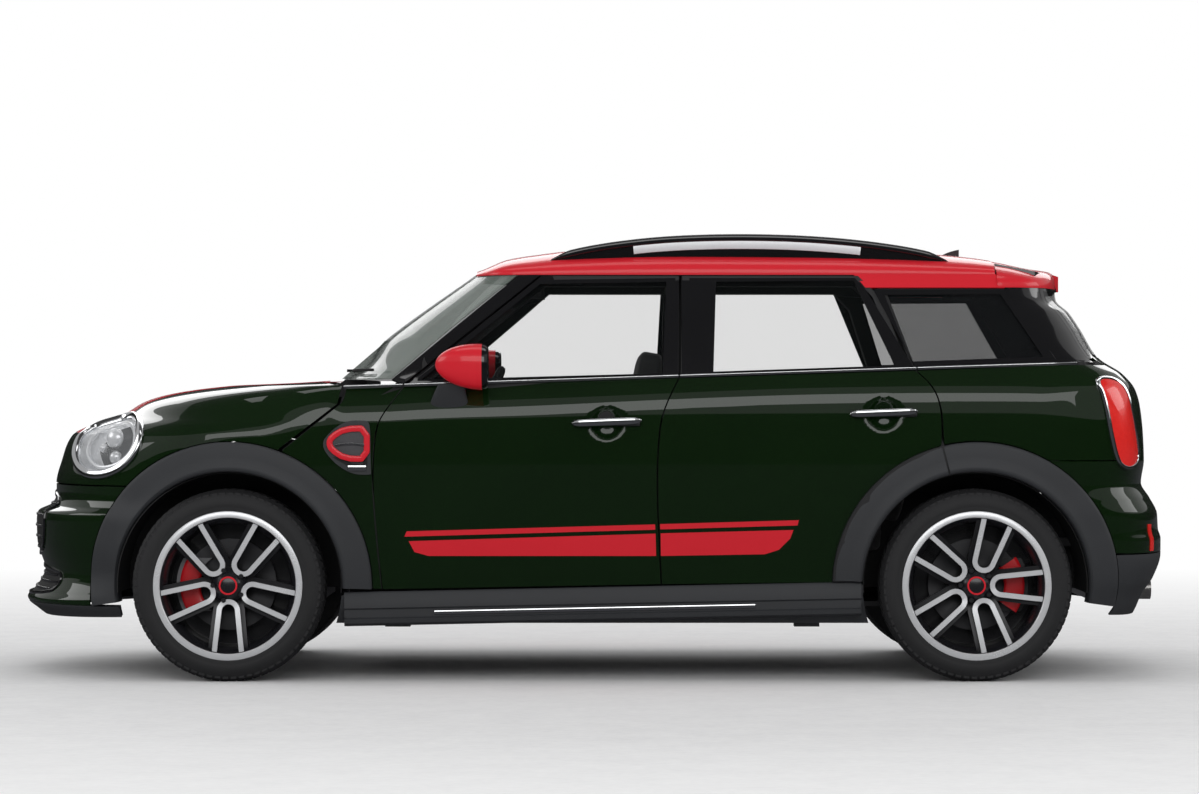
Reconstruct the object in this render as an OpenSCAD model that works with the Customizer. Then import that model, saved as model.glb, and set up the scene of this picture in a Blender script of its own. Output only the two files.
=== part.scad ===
/* [Body] */
// Overall length, bumper to bumper
body_length = 4300; // [4200:10:4400]
// Width of the body sides at their widest line
body_width = 1784; // [1740:4:1820]
// Height of the roof above the ground
roof_height = 1578; // [1560:1:1600]
// Height of the lower edge of the roof sides
roof_edge_z = 1458; // [1450:1:1466]
// Thickness of fixed outer panels
panel_t = 37; // [32:1:37]
// Thickness of the outer layer of a door
door_skin_t = 18; // [18:0.5:20]
// Thickness of a whole door
door_t = 110; // [90:1:115]
// Depth of the pillars behind the outer panels
frame_depth = 82; // [70:1:90]
// Gap between neighbouring panels
panel_gap = 8; // [7:0.5:10]
// Thickness of the window glass
glass_t = 5; // [4:0.5:6]

/* [Wheels] */
// Distance between the axles
wheelbase = 2670; // [2640:5:2700]
// Distance from the front bumper to the front axle
front_overhang = 835; // [820:5:850]
// Distance between the middles of the two wheels on an axle
track = 1584; // [1560:2:1600]
// Outer radius of the tyre
tyre_r = 342; // [335:1:345]
// Width of the tyre
tyre_w = 225; // [205:1:235]
// Radius of the rim where the tyre sits
rim_r = 241; // [235:1:245]
// Radius of the wheel arch openings
arch_r = 405; // [400:1:415]
// Outer radius of the wheel arch flares
flare_r = 512; // [490:1:520]
// How far the flares stand out from the body sides
flare_out = 16; // [8:1:24]
// Radius of the brake discs
disc_r = 165; // [150:1:172]
// Radius of the bore in each wheel hub
hub_bore_r = 25; // [22:0.5:28]
// Radius of the kingpins that the front wheels steer about
kingpin_r = 15; // [12:0.5:18]

/* [Hidden] */
$fn = 28;

half_l = body_length / 2;
half_w = body_width / 2;
// Axle places along the car, and their height
fx = half_l - front_overhang;
rx = fx - wheelbase;
axle_z = tyre_r;
wheel_y = track / 2;
// Line ahead of the rear end that the outlines of the tail are measured from
tail_x = 795 - half_l;
// Middle seam between the doors
bx = (fx + rx) / 2 - 195;
// Height about which the inner faces of the body shrink
core_z = 700;
crown_h = roof_height - core_z;
// Clearance between fixed pieces that seat on each other, and radial clearance of the pins
seat_gap = 0.3;
pin_gap = 0.05;
// Depth at which the pillars start
frame_t = panel_t + 0.4;
frame_in_t = frame_t + frame_depth;

// Half width of the body at each height, as a tuck from the widest line
tuck = [[200, 92], [260, 54], [340, 30], [480, 12], [640, 2], [780, 0], [900, 6], [970, 18],
  [1060, 47], [1100, 60]];
belt_z = 1100;
function waist(z) = z < belt_z ? half_w - lookup(z, tuck)
  : half_w - 60 - 0.42 * (z - belt_z) - 0.00024 * pow(z - belt_z, 2);

// Setback of the nose, hood and windscreen at each height, from the front end
nose_back = [[200, 90], [230, 50], [271, 0], [300, 12], [420, 24], [560, 30], [590, 36], [615, 92],
  [645, 108], [691, 118], [780, 139], [870, 176], [907, 250], [940, 355], [1002, 471], [1052, 768],
  [1064, 1032], [1075, 1174], [1240, 1366], [1484, 1708]];
// Setback of the tail and rear window at each height, from the rear end
tail_back = [[200, 150], [220, 130], [300, 83], [353, 40], [442, 0], [530, 12], [587, 30], [644, 60],
  [700, 108], [871, 116], [985, 128], [1042, 144], [1099, 190], [1156, 276], [1269, 345], [1326, 383],
  [1373, 430], [1480, 440], [1493, 550]];
function reach(z, x) = half_l - lookup(z, x > 0 ? nose_back : tail_back);

// Height of the top and bottom of the body along the middle. The roof's line is a drop from its highest
// point, by the share of the roof's length from its rear end.
roof_drop = [[0, 85], [0.054, 62], [0.11, 43], [0.246, 20], [0.443, 4], [0.64, 0], [0.837, 18], [0.894, 32],
  [0.95, 51], [1, 94]];
nose_top = [for (p = nose_back) if (p[0] >= 271) [-p[1], p[0]]];
tail_top = [for (p = tail_back) if (p[0] >= 442) [-p[1], p[0]]];
roof_front = half_l - 1720;
roof_rear = tail_x - 245;
function roof_z(x) = roof_height - lookup((x - roof_rear) / (roof_front - roof_rear), roof_drop);
function top_z(x) = x > roof_front ? lookup(x - half_l, [for (i = [len(nose_top) - 1:-1:0]) nose_top[i]])
  : x < roof_rear ? lookup(-x - half_l, [for (i = [len(tail_top) - 1:-1:0]) tail_top[i]])
  : roof_z(x);
base_z = 205;
chin = [[-90, 205], [-50, 230], [0, 271]];
tail_chin = [[-130, 220], [-83, 300], [-40, 353], [0, 442]];
function low_z(x) = x > half_l - 90 ? lookup(x - half_l, chin)
  : x < 130 - half_l ? lookup(-x - half_l, tail_chin) : base_z;

// Half width at any place of the side view: full along the sides, closing in an arc at both ends
nose_power = 8;
tail_power = 22;
roof_power = 2.6;
function side_y(x, z) = waist(z)
  * sqrt(max(0, 1 - pow(min(1, abs(x) / reach(z, x)), x > 0 ? nose_power : tail_power)));
function edge_z(x) = min(roof_edge_z, roof_z(x) - 25);
function body_y(x, z) = x > roof_front || x < roof_rear || z < edge_z(x) ? side_y(x, z)
  : side_y(x, edge_z(x))
    * pow(max(0, 1 - pow((z - edge_z(x)) / (roof_z(x) - edge_z(x)), roof_power)), 1 / roof_power);

// Stations along the car, closer together towards the ends, as distances from each end, and the number
// of levels up each station: a fine set for the outer skin and a coarse one for what lies behind it
front_steps = [[1, 14, 45, 90, 150, 230, 340, 480, 660, 850, 1032, 1174, 1350, 1530, 1708],
  [1, 45, 150, 340, 660, 1032, 1174, 1708]];
rear_steps = [[1, 14, 45, 90, 150, 230, 300, 370, 435, 450, 550, 700, 900, 1150],
  [1, 45, 150, 300, 450, 700, 1150]];
middle_xs = [[-750, -450, -150, 150], [-450, 150]];
level_counts = [13, 9];
function stations(grade) = concat([for (s = rear_steps[grade]) s - half_l], middle_xs[grade],
  [for (i = [len(front_steps[grade]) - 1:-1:0]) half_l - front_steps[grade][i]]);

// One closed solid of the whole body: rings of points across the car at every station
function half_ring(x, levels) = let (a = low_z(x), b = top_z(x))
  [for (j = [0:levels]) let (z = a + (b - a) * (1 - cos(180 * j / levels)) / 2)
    [x, max(0.5, body_y(x, z)), z]];
function ring(x, levels) = let (half = half_ring(x, levels))
  concat(half, [for (j = [levels:-1:0]) [half[j][0], -half[j][1], half[j][2]]]);

module body_solid(grade) {
  levels = level_counts[grade];
  xs = stations(grade);
  n = 2 * levels + 2;
  m = len(xs);
  points = [for (x = xs) each ring(x, levels)];
  sides = [for (i = [0:m - 2], j = [0:n - 1]) let (k = (j + 1) % n, a = i * n, b = a + n)
    each j > levels ? [[a + j, b + j, a + k], [b + j, b + k, a + k]]
      : [[a + j, b + k, a + k], [a + j, b + j, b + k]]];
  polyhedron(points, concat(sides, [[for (j = [0:n - 1]) j]],
    [[for (j = [n - 1:-1:0]) (m - 1) * n + j]]), convexity = 6);
}

// The body shrunk by a depth on every side
module inset_body(depth) {
  translate([0, 0, core_z])
    scale([1 - depth / half_l, 1 - depth / half_w, 1 - depth / crown_h])
      translate([0, 0, -core_z]) body_solid(depth > 0 ? 1 : 0);
}

// A layer of the body between two depths
module layer(outer, inner) {
  difference() {
    inset_body(outer);
    inset_body(inner);
  }
}

// Solids that come from cut layers are meshed as one piece
module meshed() {
  resize([0, 0, 0]) children();
}

// Prisms across the car from a drawing of its side view
module left_prism() {
  translate([0, half_w + 300, 0]) rotate([90, 0, 0]) linear_extrude(half_w + 300 - 60) children();
}
module wide_prism() {
  translate([0, half_w + 300, 0]) rotate([90, 0, 0]) linear_extrude(body_width + 600) children();
}
// Prism along the car from a drawing of its end view
module end_prism(x, length) {
  translate([x, 0, 0]) rotate([90, 0, 90]) linear_extrude(length) children();
}
module both_sides() {
  children();
  mirror([0, 1, 0]) children();
}
module side(left) {
  mirror([0, left ? 0 : 1, 0]) children();
}

// Outlines in the side view
function door_front_edge() = [[fx - 635, 1057], [fx - 557, 957], [fx - 530, 902], [fx - 517, 739],
  [fx - 552, 326]];
function door_middle_edge() = [[bx - 16, 345], [bx, 720], [bx - 5, 848], [bx - 18, 957], [bx - 82, 1088]];
door_top_z = roof_edge_z;
module front_door_outline() {
  polygon(concat(door_front_edge(), door_middle_edge(), [[bx - 87, door_top_z], [fx - 1113, door_top_z]]));
}
module rear_door_outline() {
  difference() {
    polygon(concat([[rx + 407, door_top_z], [bx - 91, door_top_z]],
      [for (i = [4:-1:0]) door_middle_edge()[i]],
      [[rx + 531, 351], [rx + 300, 355], [rx, 600], [rx + 121, 866], [rx + 126, 966], [rx + 151, 1048],
        [rx + 229, 1106], [rx + 325, 1376]]));
    translate([rx, axle_z]) circle(r = arch_r);
  }
}
module front_window() {
  polygon([[fx - 671, 1069], [fx - 1120, 1439], [bx - 70, 1446], [bx - 61, 1092]]);
}
module rear_window() {
  polygon([[bx - 121, 1446], [bx - 112, 1094], [rx + 264, 1126], [rx + 358, 1376], [rx + 420, 1446]]);
}
module quarter_window() {
  polygon([[rx + 216, 1130], [rx + 308, 1396], [tail_x - 128, 1402], [tail_x - 285, 1162]]);
}
module flare_discs(r) {
  for (x = [fx, rx]) translate([x, axle_z]) circle(r = r, $fn = 56);
}
function sill_z(x) = 352 - 0.0206 * (x - rx);

// Body side pieces
sill_t = 60;
sill_in_y = half_w - 190;
// Jacking pads under the sills
pad_l = 90;
pad_w = 60;
pad_z = 190;
aperture_lap = 40;
inner_lap = 55;
door_belt_z = 1062;
module door_outline(front) {
  if (front) front_door_outline();
  else rear_door_outline();
}
module door_window(front) {
  if (front) front_window();
  else rear_window();
}
module flare_ring() {
  difference() {
    flare_discs(flare_r);
    flare_discs(arch_r);
  }
}
module door(front, left) {
  color(front ? "darkgreen" : "#12351a") side(left) meshed() union() {
    door_shell(front);
    handle_bar(front);
  }
}
module door_shell(front) {
  difference() {
    union() {
      intersection() {
        layer(0, door_skin_t);
        left_prism() offset(-panel_gap / 2) door_outline(front);
      }
      intersection() {
        layer(door_skin_t - 1, door_t);
        left_prism() intersection() {
          offset(-inner_lap) door_outline(front);
          translate([-half_l, 0]) square([body_length, door_belt_z]);
        }
      }
      if (!front) intersection() {
        layer(-flare_out, door_skin_t - 6);
        left_prism() intersection() {
          flare_ring();
          offset(-panel_gap / 2 - 0.6) rear_door_outline();
        }
      }
    }
    left_prism() door_window(front);
    striker(front, seat_gap);
    handle_cup(front);
  }
}
// Pull handle across a round cup in the door's outer layer
handle_r = 11;
handle_half = 118;
cup_r = 60;
cup_depth = 10;
cup_floor = 12;
function handle_place(front) = let (x = front ? bx + 179 : rx + 331, z = front ? 922 : 955)
  [x, side_y(x, z), z];
module handle_cup(front) {
  p = handle_place(front);
  translate([p[0], p[1] - cup_depth, p[2]]) rotate([-90, 0, 0]) cylinder(r = cup_r, h = 40, $fn = 24);
}
module handle_bar(front) {
  p = handle_place(front);
  translate([p[0] - handle_half, p[1] + cup_floor, p[2]]) {
    rotate([0, 90, 0]) cylinder(r = handle_r, h = 2 * handle_half, $fn = 10);
    for (x = [handle_r, 2 * handle_half - 3 * handle_r]) translate([x, -cup_floor - 12, -handle_r / 2])
      cube([2 * handle_r, cup_floor + 14, handle_r]);
  }
}
module door_front_left() { door(true, true); }
module door_front_right() { door(true, false); }
module door_rear_left() { door(false, true); }
module door_rear_right() { door(false, false); }

// Latch pin on the pillar behind each door, which the door's slot closes on
striker_r = 6;
striker_len = 40;
function striker_place(front) = front ? [bx + inner_lap - 1, half_w - door_t + 22, 760]
  : [rx + 190, half_w - door_t + 22, 900];
module striker(front, gap) {
  p = striker_place(front);
  length = 2 * striker_len + (gap > 0 ? panel_gap : 0);
  translate(p) rotate([0, 90, 0]) translate([0, 0, -striker_len]) hull() {
    cylinder(r = striker_r + gap, h = length, $fn = 24);
    if (gap > 0) translate([0, -200, 0]) cylinder(r = striker_r + gap, h = length, $fn = 24);
  }
}

// Side glass
module door_glass(front, left) {
  color("#30383c") side(left) meshed() intersection() {
    layer(12, 12 + glass_t);
    left_prism() offset(-seat_gap) door_window(front);
  }
}
module glass_front_left() { door_glass(true, true); }
module glass_front_right() { door_glass(true, false); }
module glass_rear_left() { door_glass(false, true); }
module glass_rear_right() { door_glass(false, false); }

// Windscreen and quarter windows
pillar_low = [fx - 580, 1080];
pillar_high = [fx - 1040, 1455];
module screen_outline() {
  polygon([pillar_low + [seat_gap, 5], [fx + 100, pillar_low[1] + 5], [fx + 100, pillar_high[1]],
    pillar_high + [seat_gap, 0]]);
}
module fixed_glass() {
  color("#30383c") meshed() union() {
    intersection() {
      layer(8, 8 + glass_t);
      wide_prism() screen_outline();
    }
    both_sides() intersection() {
      layer(12, 12 + glass_t);
      left_prism() offset(-seat_gap) quarter_window();
    }
  }
}

// Pillars, roof side rails and inner sills as one cage
module frame_outline() {
  difference() {
    polygon([[fx - 430, sill_z(fx - 430) + seat_gap], [fx - 430, 930], [fx - 480, 985], [fx - 590, 1062],
      [fx - 1050, 1462], [fx - 1120, roof_height], [tail_x - 95, roof_height], [tail_x - 95, 1455],
      [tail_x - 128, 1400], [tail_x - 300, 1157], [tail_x - 300, 800], [rx, 800],
      [rx + arch_r, sill_z(rx + arch_r) + seat_gap]]);
    offset(-aperture_lap) front_door_outline();
    offset(-aperture_lap) rear_door_outline();
    offset(10) quarter_window();
    flare_discs(arch_r + 25);
  }
}
rail_y = half_w - 422;
module body_frame() {
  color("#18181a") meshed() union() {
    intersection() {
      layer(frame_t, frame_in_t);
      union() {
        difference() {
          wide_prism() frame_outline();
          translate([-half_l, -rail_y, 0]) cube([body_length, 2 * rail_y, 2 * roof_height]);
        }
        difference() {
          wide_prism() for (x = [fx - 1110, bx - 140, tail_x - 98.5])
            translate([x, roof_edge_z - 60]) square([90, 200]);
          tailgate_zone(seat_gap - panel_gap / 2);
        }
      }
    }
    both_sides() intersection() {
      layer(0, frame_in_t - 5);
      left_prism() polygon([[fx - 628, 1066], pillar_low, pillar_high, [fx - 1102, 1455]]);
    }
    both_sides() for (front = [true, false]) striker(front, 0);
  }
}

// Panels
module fender_outline() {
  difference() {
    polygon(concat([[fx - 190, 830], [fx - 392, 989], [fx - 410, 1064], [fx - 628, 1064]], door_front_edge(),
      [[fx - 100, 326]]));
    translate([fx, axle_z]) circle(r = flare_r + panel_gap / 2, $fn = 56);
  }
}
// Side vent: a plate on the fender with a raised ring round its recess
vent_out = 8;
vent_rim = 16;
module vent_outline() {
  translate([fx, 0]) polygon([[-335, 842], [-375, 900], [-430, 922], [-498, 922], [-498, 758], [-440, 762],
    [-380, 796]]);
}
module vent_ring() {
  difference() {
    offset(vent_rim) offset(-vent_rim) vent_outline();
    offset(-vent_rim) vent_outline();
  }
}
module front_fenders() {
  color("darkgreen") meshed() difference() {
    both_sides() union() {
      intersection() {
        layer(0, panel_t);
        left_prism() difference() {
          offset(-panel_gap / 2) fender_outline();
          offset(-vent_rim - 2) vent_outline();
        }
      }
      intersection() {
        layer(-vent_out, panel_t - 4);
        left_prism() vent_ring();
      }
      intersection() {
        layer(vent_out, panel_t - 8);
        left_prism() offset(2 - vent_rim) vent_outline();
      }
    }
    translate([0, -cowl_half, core_z]) cube([half_l, 2 * cowl_half, roof_height]);
  }
}
module sill_panels() {
  color("#3a3c40") meshed() both_sides() union() {
    sill_side();
    for (x = [fx - 600, rx + 600]) translate([x - pad_l / 2, sill_in_y + 20, pad_z])
      cube([pad_l, pad_w, base_z + 12 - pad_z]);
  }
}
module sill_side() {
  intersection() {
    layer(-flare_out / 2, sill_t);
    translate([-half_l, sill_in_y, 0]) cube([body_length, half_w, roof_height]);
    left_prism() difference() {
      polygon([[fx, sill_z(fx)], [rx, sill_z(rx)], [rx, base_z], [fx, base_z]]);
      flare_discs(arch_r);
    }
  }
}
module wheel_flares() {
  color("#3a3c40") meshed() both_sides() intersection() {
    layer(-flare_out, panel_t);
    left_prism() difference() {
      flare_ring();
      offset(panel_gap / 2) rear_door_outline();
      polygon([[fx, sill_z(fx) + seat_gap], [rx, sill_z(rx) + seat_gap], [rx, 0], [fx, 0]]);
      translate([-half_l, 0]) square([body_length, 300]);
    }
  }
}

// Hood: a clamshell that wraps over the tops of the front wheels
hood_t = 24;
hood_high_z = 1074;
cowl_half = half_w - 332;
cowl_r = 3400;
cowl_x = fx - 310;
lamp_x = fx + 475;
lamp_z = 838;
module hood_outline() {
  difference() {
    polygon([[fx - 190, 830], [fx - 392, 989], [fx - 410, hood_high_z], [half_l + 10, hood_high_z],
      [half_l + 10, 695], [fx, 695]]);
    flare_discs(flare_r + panel_gap / 2);
  }
}
lamp_y = half_w - 242;
module lamp_zone(grow) {
  intersection() {
    left_prism() translate([lamp_x, lamp_z]) rotate(-24) scale([128 + grow, 103 + grow] / 100)
      circle(r = 100, $fn = 40);
    end_prism(fx, half_l) translate([lamp_y, lamp_z]) scale([160 + grow, 125 + grow] / 100)
      circle(r = 100, $fn = 40);
  }
}
module cowl_cut(grow) {
  translate([cowl_x - cowl_r, 0, core_z]) cylinder(r = cowl_r + grow, h = 600, $fn = 180);
}
lamp_ring_out = 9;
lamp_ring_w = 20;
module hood() {
  color("darkgreen") meshed() difference() {
    union() {
      intersection() {
        layer(0, hood_t);
        wide_prism() offset(-panel_gap / 2) hood_outline();
      }
      both_sides() intersection() {
        layer(-lamp_ring_out, hood_t - 5);
        lamp_zone(lamp_ring_w / 2);
        wide_prism() offset(-panel_gap / 2 - 1) hood_outline();
      }
    }
    cowl_cut(panel_gap / 2);
    both_sides() lamp_zone(-lamp_ring_w / 2);
  }
}

// Bumpers, grille and lamps
bumper_t = 50;
bracket_y = 400;
bumper_top_z = 691;
module front_bumper_outline() {
  difference() {
    translate([fx, base_z]) square([front_overhang + 20, bumper_top_z - base_z]);
    translate([fx - arch_r - 10, 0]) square([arch_r + 10, bumper_top_z]);
    difference() {
      translate([fx, axle_z]) circle(r = flare_r + panel_gap / 2, $fn = 56);
      translate([fx, 0]) square([half_l, 300 - panel_gap]);
    }
    translate([fx, axle_z]) circle(r = arch_r, $fn = 56);
  }
}
// A six-sided opening of the front view: half width, slant of its ends, and heights
module mouth(half, slant, low, middle, high) {
  polygon([[-half, middle], [slant - half, high], [half - slant, high], [half, middle], [half - slant, low],
    [slant - half, low]]);
}
grille_half = half_w - 422;
intake_half = half_w - 332;
module grille_outline() { mouth(grille_half, 70, 430, 560, 660); }
module intake_outline() { mouth(intake_half, 60, 285, 345, 390); }
module front_bumper() {
  color("darkgreen") meshed() difference() {
    union() {
      intersection() {
        layer(0, bumper_t);
        wide_prism() offset(-panel_gap / 2) front_bumper_outline();
      }
      front_brackets();
    }
    end_prism(fx, half_l) grille_outline();
    end_prism(fx, half_l) intake_outline();
  }
}
module front_brackets() {
  intersection() {
    inset_body(bumper_t - 12);
    for (y = [-rail_mid, rail_mid]) translate([beam_x + 5 + seat_gap, y - 25, rail_top_z - 35])
      cube([400, 50, 30]);
  }
}
module rear_brackets() {
  intersection() {
    inset_body(bumper_t - 12);
    for (y = [-bracket_y, bracket_y]) translate([deck_end - seat_gap - 400, y - 30, deck_z - floor_t])
      cube([400, 60, floor_t]);
  }
}
module grille_bars(pitch, bar, z0, z1) {
  for (z = [z0:pitch:z1]) translate([-half_w, z]) square([body_width, bar]);
}
module front_grille() {
  color("#101012") meshed() intersection() {
    layer(18, 48);
    end_prism(fx, half_l) {
      intersection() {
        offset(-seat_gap) grille_outline();
        union() {
          grille_bars(70, 26, 462, 640);
          difference() {
            grille_outline();
            offset(-24) grille_outline();
          }
        }
      }
      intersection() {
        offset(-seat_gap) intake_outline();
        union() {
          grille_bars(40, 16, 330, 340);
          difference() {
            intake_outline();
            offset(-18) intake_outline();
          }
        }
      }
    }
  }
}
lamp_depth = 42;
module headlamps() {
  color("white") meshed() both_sides() union() {
    intersection() {
      layer(lamp_depth, 110);
      lamp_zone(14);
    }
    translate([lamp_x - 75, rail_mid + rail_half + seat_gap, lamp_z - 60])
      cube([60, lamp_y - rail_mid - rail_half, 50]);
  }
}
rear_seam_z = 787;
module tail_lamp_outline() {
  translate([tail_x, 0]) polygon([[-420, 790], [-400, 1060], [-440, 1083], [-560, 1075], [-640, 1000],
    [-640, 800], [-600, 765], [-450, 765]]);
}
module rear_bumper_outline() {
  difference() {
    translate([-half_l - 10, base_z]) square([half_l + 10 + rx, rear_seam_z - base_z]);
    difference() {
      translate([rx, axle_z]) circle(r = flare_r + panel_gap / 2, $fn = 56);
      translate([-half_l, 0]) square([half_l + rx, 300 - panel_gap]);
    }
    translate([rx, axle_z]) circle(r = arch_r, $fn = 56);
    translate([rx - 300, 650]) square([310, 200]);
  }
}
module rear_bumper() {
  color("#3a3c40") meshed() difference() {
    union() {
      intersection() {
        layer(0, bumper_t);
        wide_prism() offset(-panel_gap / 2) rear_bumper_outline();
      }
      rear_brackets();
    }
    tailgate_zone(panel_gap / 2);
    both_sides() left_prism() offset(seat_gap) tail_lamp_outline();
    exhaust_tips(panel_gap / 2);
  }
}
module tail_lamps() {
  color("crimson") meshed() both_sides() difference() {
    union() {
      intersection() {
        layer(0, 60);
        left_prism() tail_lamp_outline();
      }
      intersection() {
        layer(-lamp_ring_out, 40);
        left_prism() offset(-lamp_ring_w) tail_lamp_outline();
      }
    }
    tailgate_zone(panel_gap / 2);
  }
}
module quarter_outline() {
  difference() {
    polygon([[rx, 860], [rx + 121, 866], [rx + 126, 966], [rx + 151, 1048], [rx + 226, 1106],
      [rx + 320, 1376], [rx + 350, 1411], [tail_x - 124, 1411], [tail_x - 300, 1157], [-half_l, 1130],
      [-half_l, rear_seam_z], [rx - 300, rear_seam_z], [rx - 300, 640], [rx - 100, 640]]);
    flare_discs(flare_r + panel_gap / 2);
    rear_door_outline();
    offset(panel_gap / 2) tail_lamp_outline();
  }
}
module rear_quarters() {
  color("darkgreen") meshed() both_sides() difference() {
    intersection() {
      layer(0, panel_t);
      left_prism() offset(-panel_gap / 2) quarter_outline();
    }
    left_prism() quarter_window();
    tailgate_zone(panel_gap / 2);
  }
}

// Tailgate with its window and spoiler
tailgate_t = 70;
spoiler_z = roof_height - 174;
gate_half = half_w - 252;
gate_edge = [[gate_half - 110, 600], [gate_half - 50, 770], [gate_half - 28, 1090], [gate_half, 1180],
  [gate_half - 80, 1420], [gate_half - 80, roof_height + 43]];
function flipped(edge) = [for (i = [len(edge) - 1:-1:0]) [-edge[i][0], edge[i][1]]];
module tailgate_end_outline() {
  polygon(concat(gate_edge, flipped(gate_edge)));
}
module tailgate_side_outline() {
  polygon([[tail_x - 95, roof_height], [tail_x - 95, 1465], [tail_x - 128, 1407], [tail_x - 300, 1157],
    [tail_x - 340, 1080], [tail_x - 340, 600], [-half_l - 60, 600], [-half_l - 60, roof_height]]);
}
module tailgate_zone(grow) {
  intersection() {
    end_prism(-half_l - 60, half_l) offset(grow) tailgate_end_outline();
    wide_prism() offset(grow) tailgate_side_outline();
  }
}
rear_pane = [[gate_half - 95, 1165], [gate_half - 55, 1195], [gate_half - 135, 1385]];
module rear_window_outline() {
  polygon(concat(rear_pane, flipped(rear_pane)));
}
module tailgate() {
  color("darkgreen") meshed() difference() {
    intersection() {
      layer(0, tailgate_t);
      tailgate_zone(-panel_gap / 2);
    }
    end_prism(-half_l, half_l) rear_window_outline();
    translate([-half_l, -half_w, spoiler_z]) cube([half_l, body_width, roof_height]);
  }
}
module tailgate_glass() {
  color("#30383c") meshed() intersection() {
    layer(10, 10 + glass_t);
    end_prism(-half_l, half_l + tail_x - 140) offset(-seat_gap) rear_window_outline();
  }
}
module spoiler() {
  color("crimson") meshed() intersection() {
    layer(0, 45);
    tailgate_zone(-panel_gap / 2);
    translate([-half_l, -half_w, spoiler_z + seat_gap]) cube([half_l, body_width, roof_height]);
  }
}

// Roof, its rails and the antenna fin
module roof_outline() {
  polygon([[fx - 1100, roof_edge_z], [fx - 860, roof_edge_z], [fx - 860, roof_height + 20],
    [tail_x - 95, roof_height + 20], [tail_x - 95, 1465], [tail_x - 124, 1411], [rx + 350, 1411],
    [rx + 385, roof_edge_z]]);
}
antenna = [[0, 0], [-80, 0], [-70, 62], [-52, 62]];
antenna_x = tail_x + 275;
module roof_panel() {
  color("crimson") meshed() union() {
    intersection() {
      layer(0, panel_t);
      wide_prism() offset(-panel_gap / 4) roof_outline();
    }
    translate([antenna_x, 16, roof_z(antenna_x) - 12]) rotate([90, 0, 0]) linear_extrude(32) polygon(antenna);
  }
}
roof_rail_y = half_w - 302;
rail_front_x = fx - 1135;
rail_rear_x = tail_x + 65;
rail_w = 36;
rail_rise = 78;
function roof_surface(x, y) = edge_z(x) + (roof_z(x) - edge_z(x))
  * pow(max(0, 1 - pow(y / side_y(x, edge_z(x)), roof_power)), 1 / roof_power);
// Arched rail: it rises from both feet and runs above the roof between them
function rail_top(x) = let (s = (x - rail_rear_x) / (rail_front_x - rail_rear_x))
  roof_surface(x, roof_rail_y) + rail_rise * pow(sin(180 * s), 0.5);
module roof_rails() {
  rail_xs = [for (i = [0:16]) rail_rear_x + (rail_front_x - rail_rear_x) * i / 16];
  under = [for (x = rail_xs) if (x > rail_rear_x + 200 && x < rail_front_x - 200) x];
  color("#18181a") meshed() both_sides() difference() {
    translate([0, roof_rail_y + rail_w / 2, 0]) rotate([90, 0, 0]) linear_extrude(rail_w) difference() {
      polygon(concat([for (x = rail_xs) [x, rail_top(x)]], [[rail_front_x, 1400], [rail_rear_x, 1400]]));
      polygon(concat([for (x = under) [x, rail_top(x) - 26]], [[rail_front_x - 220, 1400],
        [rail_rear_x + 220, 1400]]));
    }
    inset_body(-seat_gap);
  }
}

// Door mirrors
mirror_x = fx - 822;
mirror_z = 1122;
mirror_y = half_w + 43;
module door_mirror(left) {
  color("crimson") side(left) meshed() difference() {
    union() {
      translate([mirror_x, mirror_y, mirror_z]) scale([0.84, 0.62, 0.8]) sphere(r = 100, $fn = 20);
      hull() {
        translate([mirror_x + 20, mirror_y - 30, mirror_z - 50]) sphere(r = 22, $fn = 10);
        translate([mirror_x + 36, half_w - 62, 1020]) sphere(r = 40, $fn = 10);
      }
    }
    translate([mirror_x - 160, mirror_y - 100, mirror_z - 120]) cube([110, 200, 240]);
    inset_body(-seat_gap);
  }
}
module mirror_left() { door_mirror(true); }
module mirror_right() { door_mirror(false); }

// Floor, bulkhead and running gear
floor_z = 245;
floor_t = 30;
floor_top = floor_z + floor_t;
house_y = 470;
rear_house_y = 560;
module wheel_houses(grow) {
  for (s = [-1, 1]) {
    translate([fx, s * (house_y + half_w), axle_z]) rotate([90, 0, 0])
      cylinder(r = arch_r + grow, h = body_width, center = true);
    translate([rx, s * (rear_house_y + half_w), axle_z]) rotate([90, 0, 0])
      cylinder(r = arch_r + grow, h = body_width, center = true);
  }
}
deck_z = 500;
deck_x = rx + 330;
deck_end = -half_l + 190;
floor_end = rx + arch_r + 30;
module deck_outline() {
  polygon([[floor_end + 60, floor_z + 6], [floor_end + 60, floor_top - 6], [deck_x, floor_top - 6],
    [deck_x - 120, deck_z], [deck_end, deck_z], [deck_end, deck_z - floor_t],
    [deck_x - 150, deck_z - floor_t], [deck_x - 40, floor_z + 6]]);
}
module floor_pan() {
  color("#4a4c50") meshed() union() {
    intersection() {
      inset_body(sill_t + seat_gap);
      translate([floor_end, -half_w, floor_z]) cube([fx - 440 - floor_end, body_width, floor_t]);
    }
    intersection() {
      wide_prism() deck_outline();
      translate([-half_l, 20 - rear_house_y, 0]) cube([body_length, 2 * rear_house_y - 40, roof_height]);
    }
  }
}
bulkhead_x = fx - 470;
bulkhead_t = 30;
cowl_low_z = 1015;
module bulkhead_plate(half_y) {
  translate([bulkhead_x, -half_y, floor_top + seat_gap]) cube([bulkhead_t, 2 * half_y, roof_height]);
}
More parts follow.
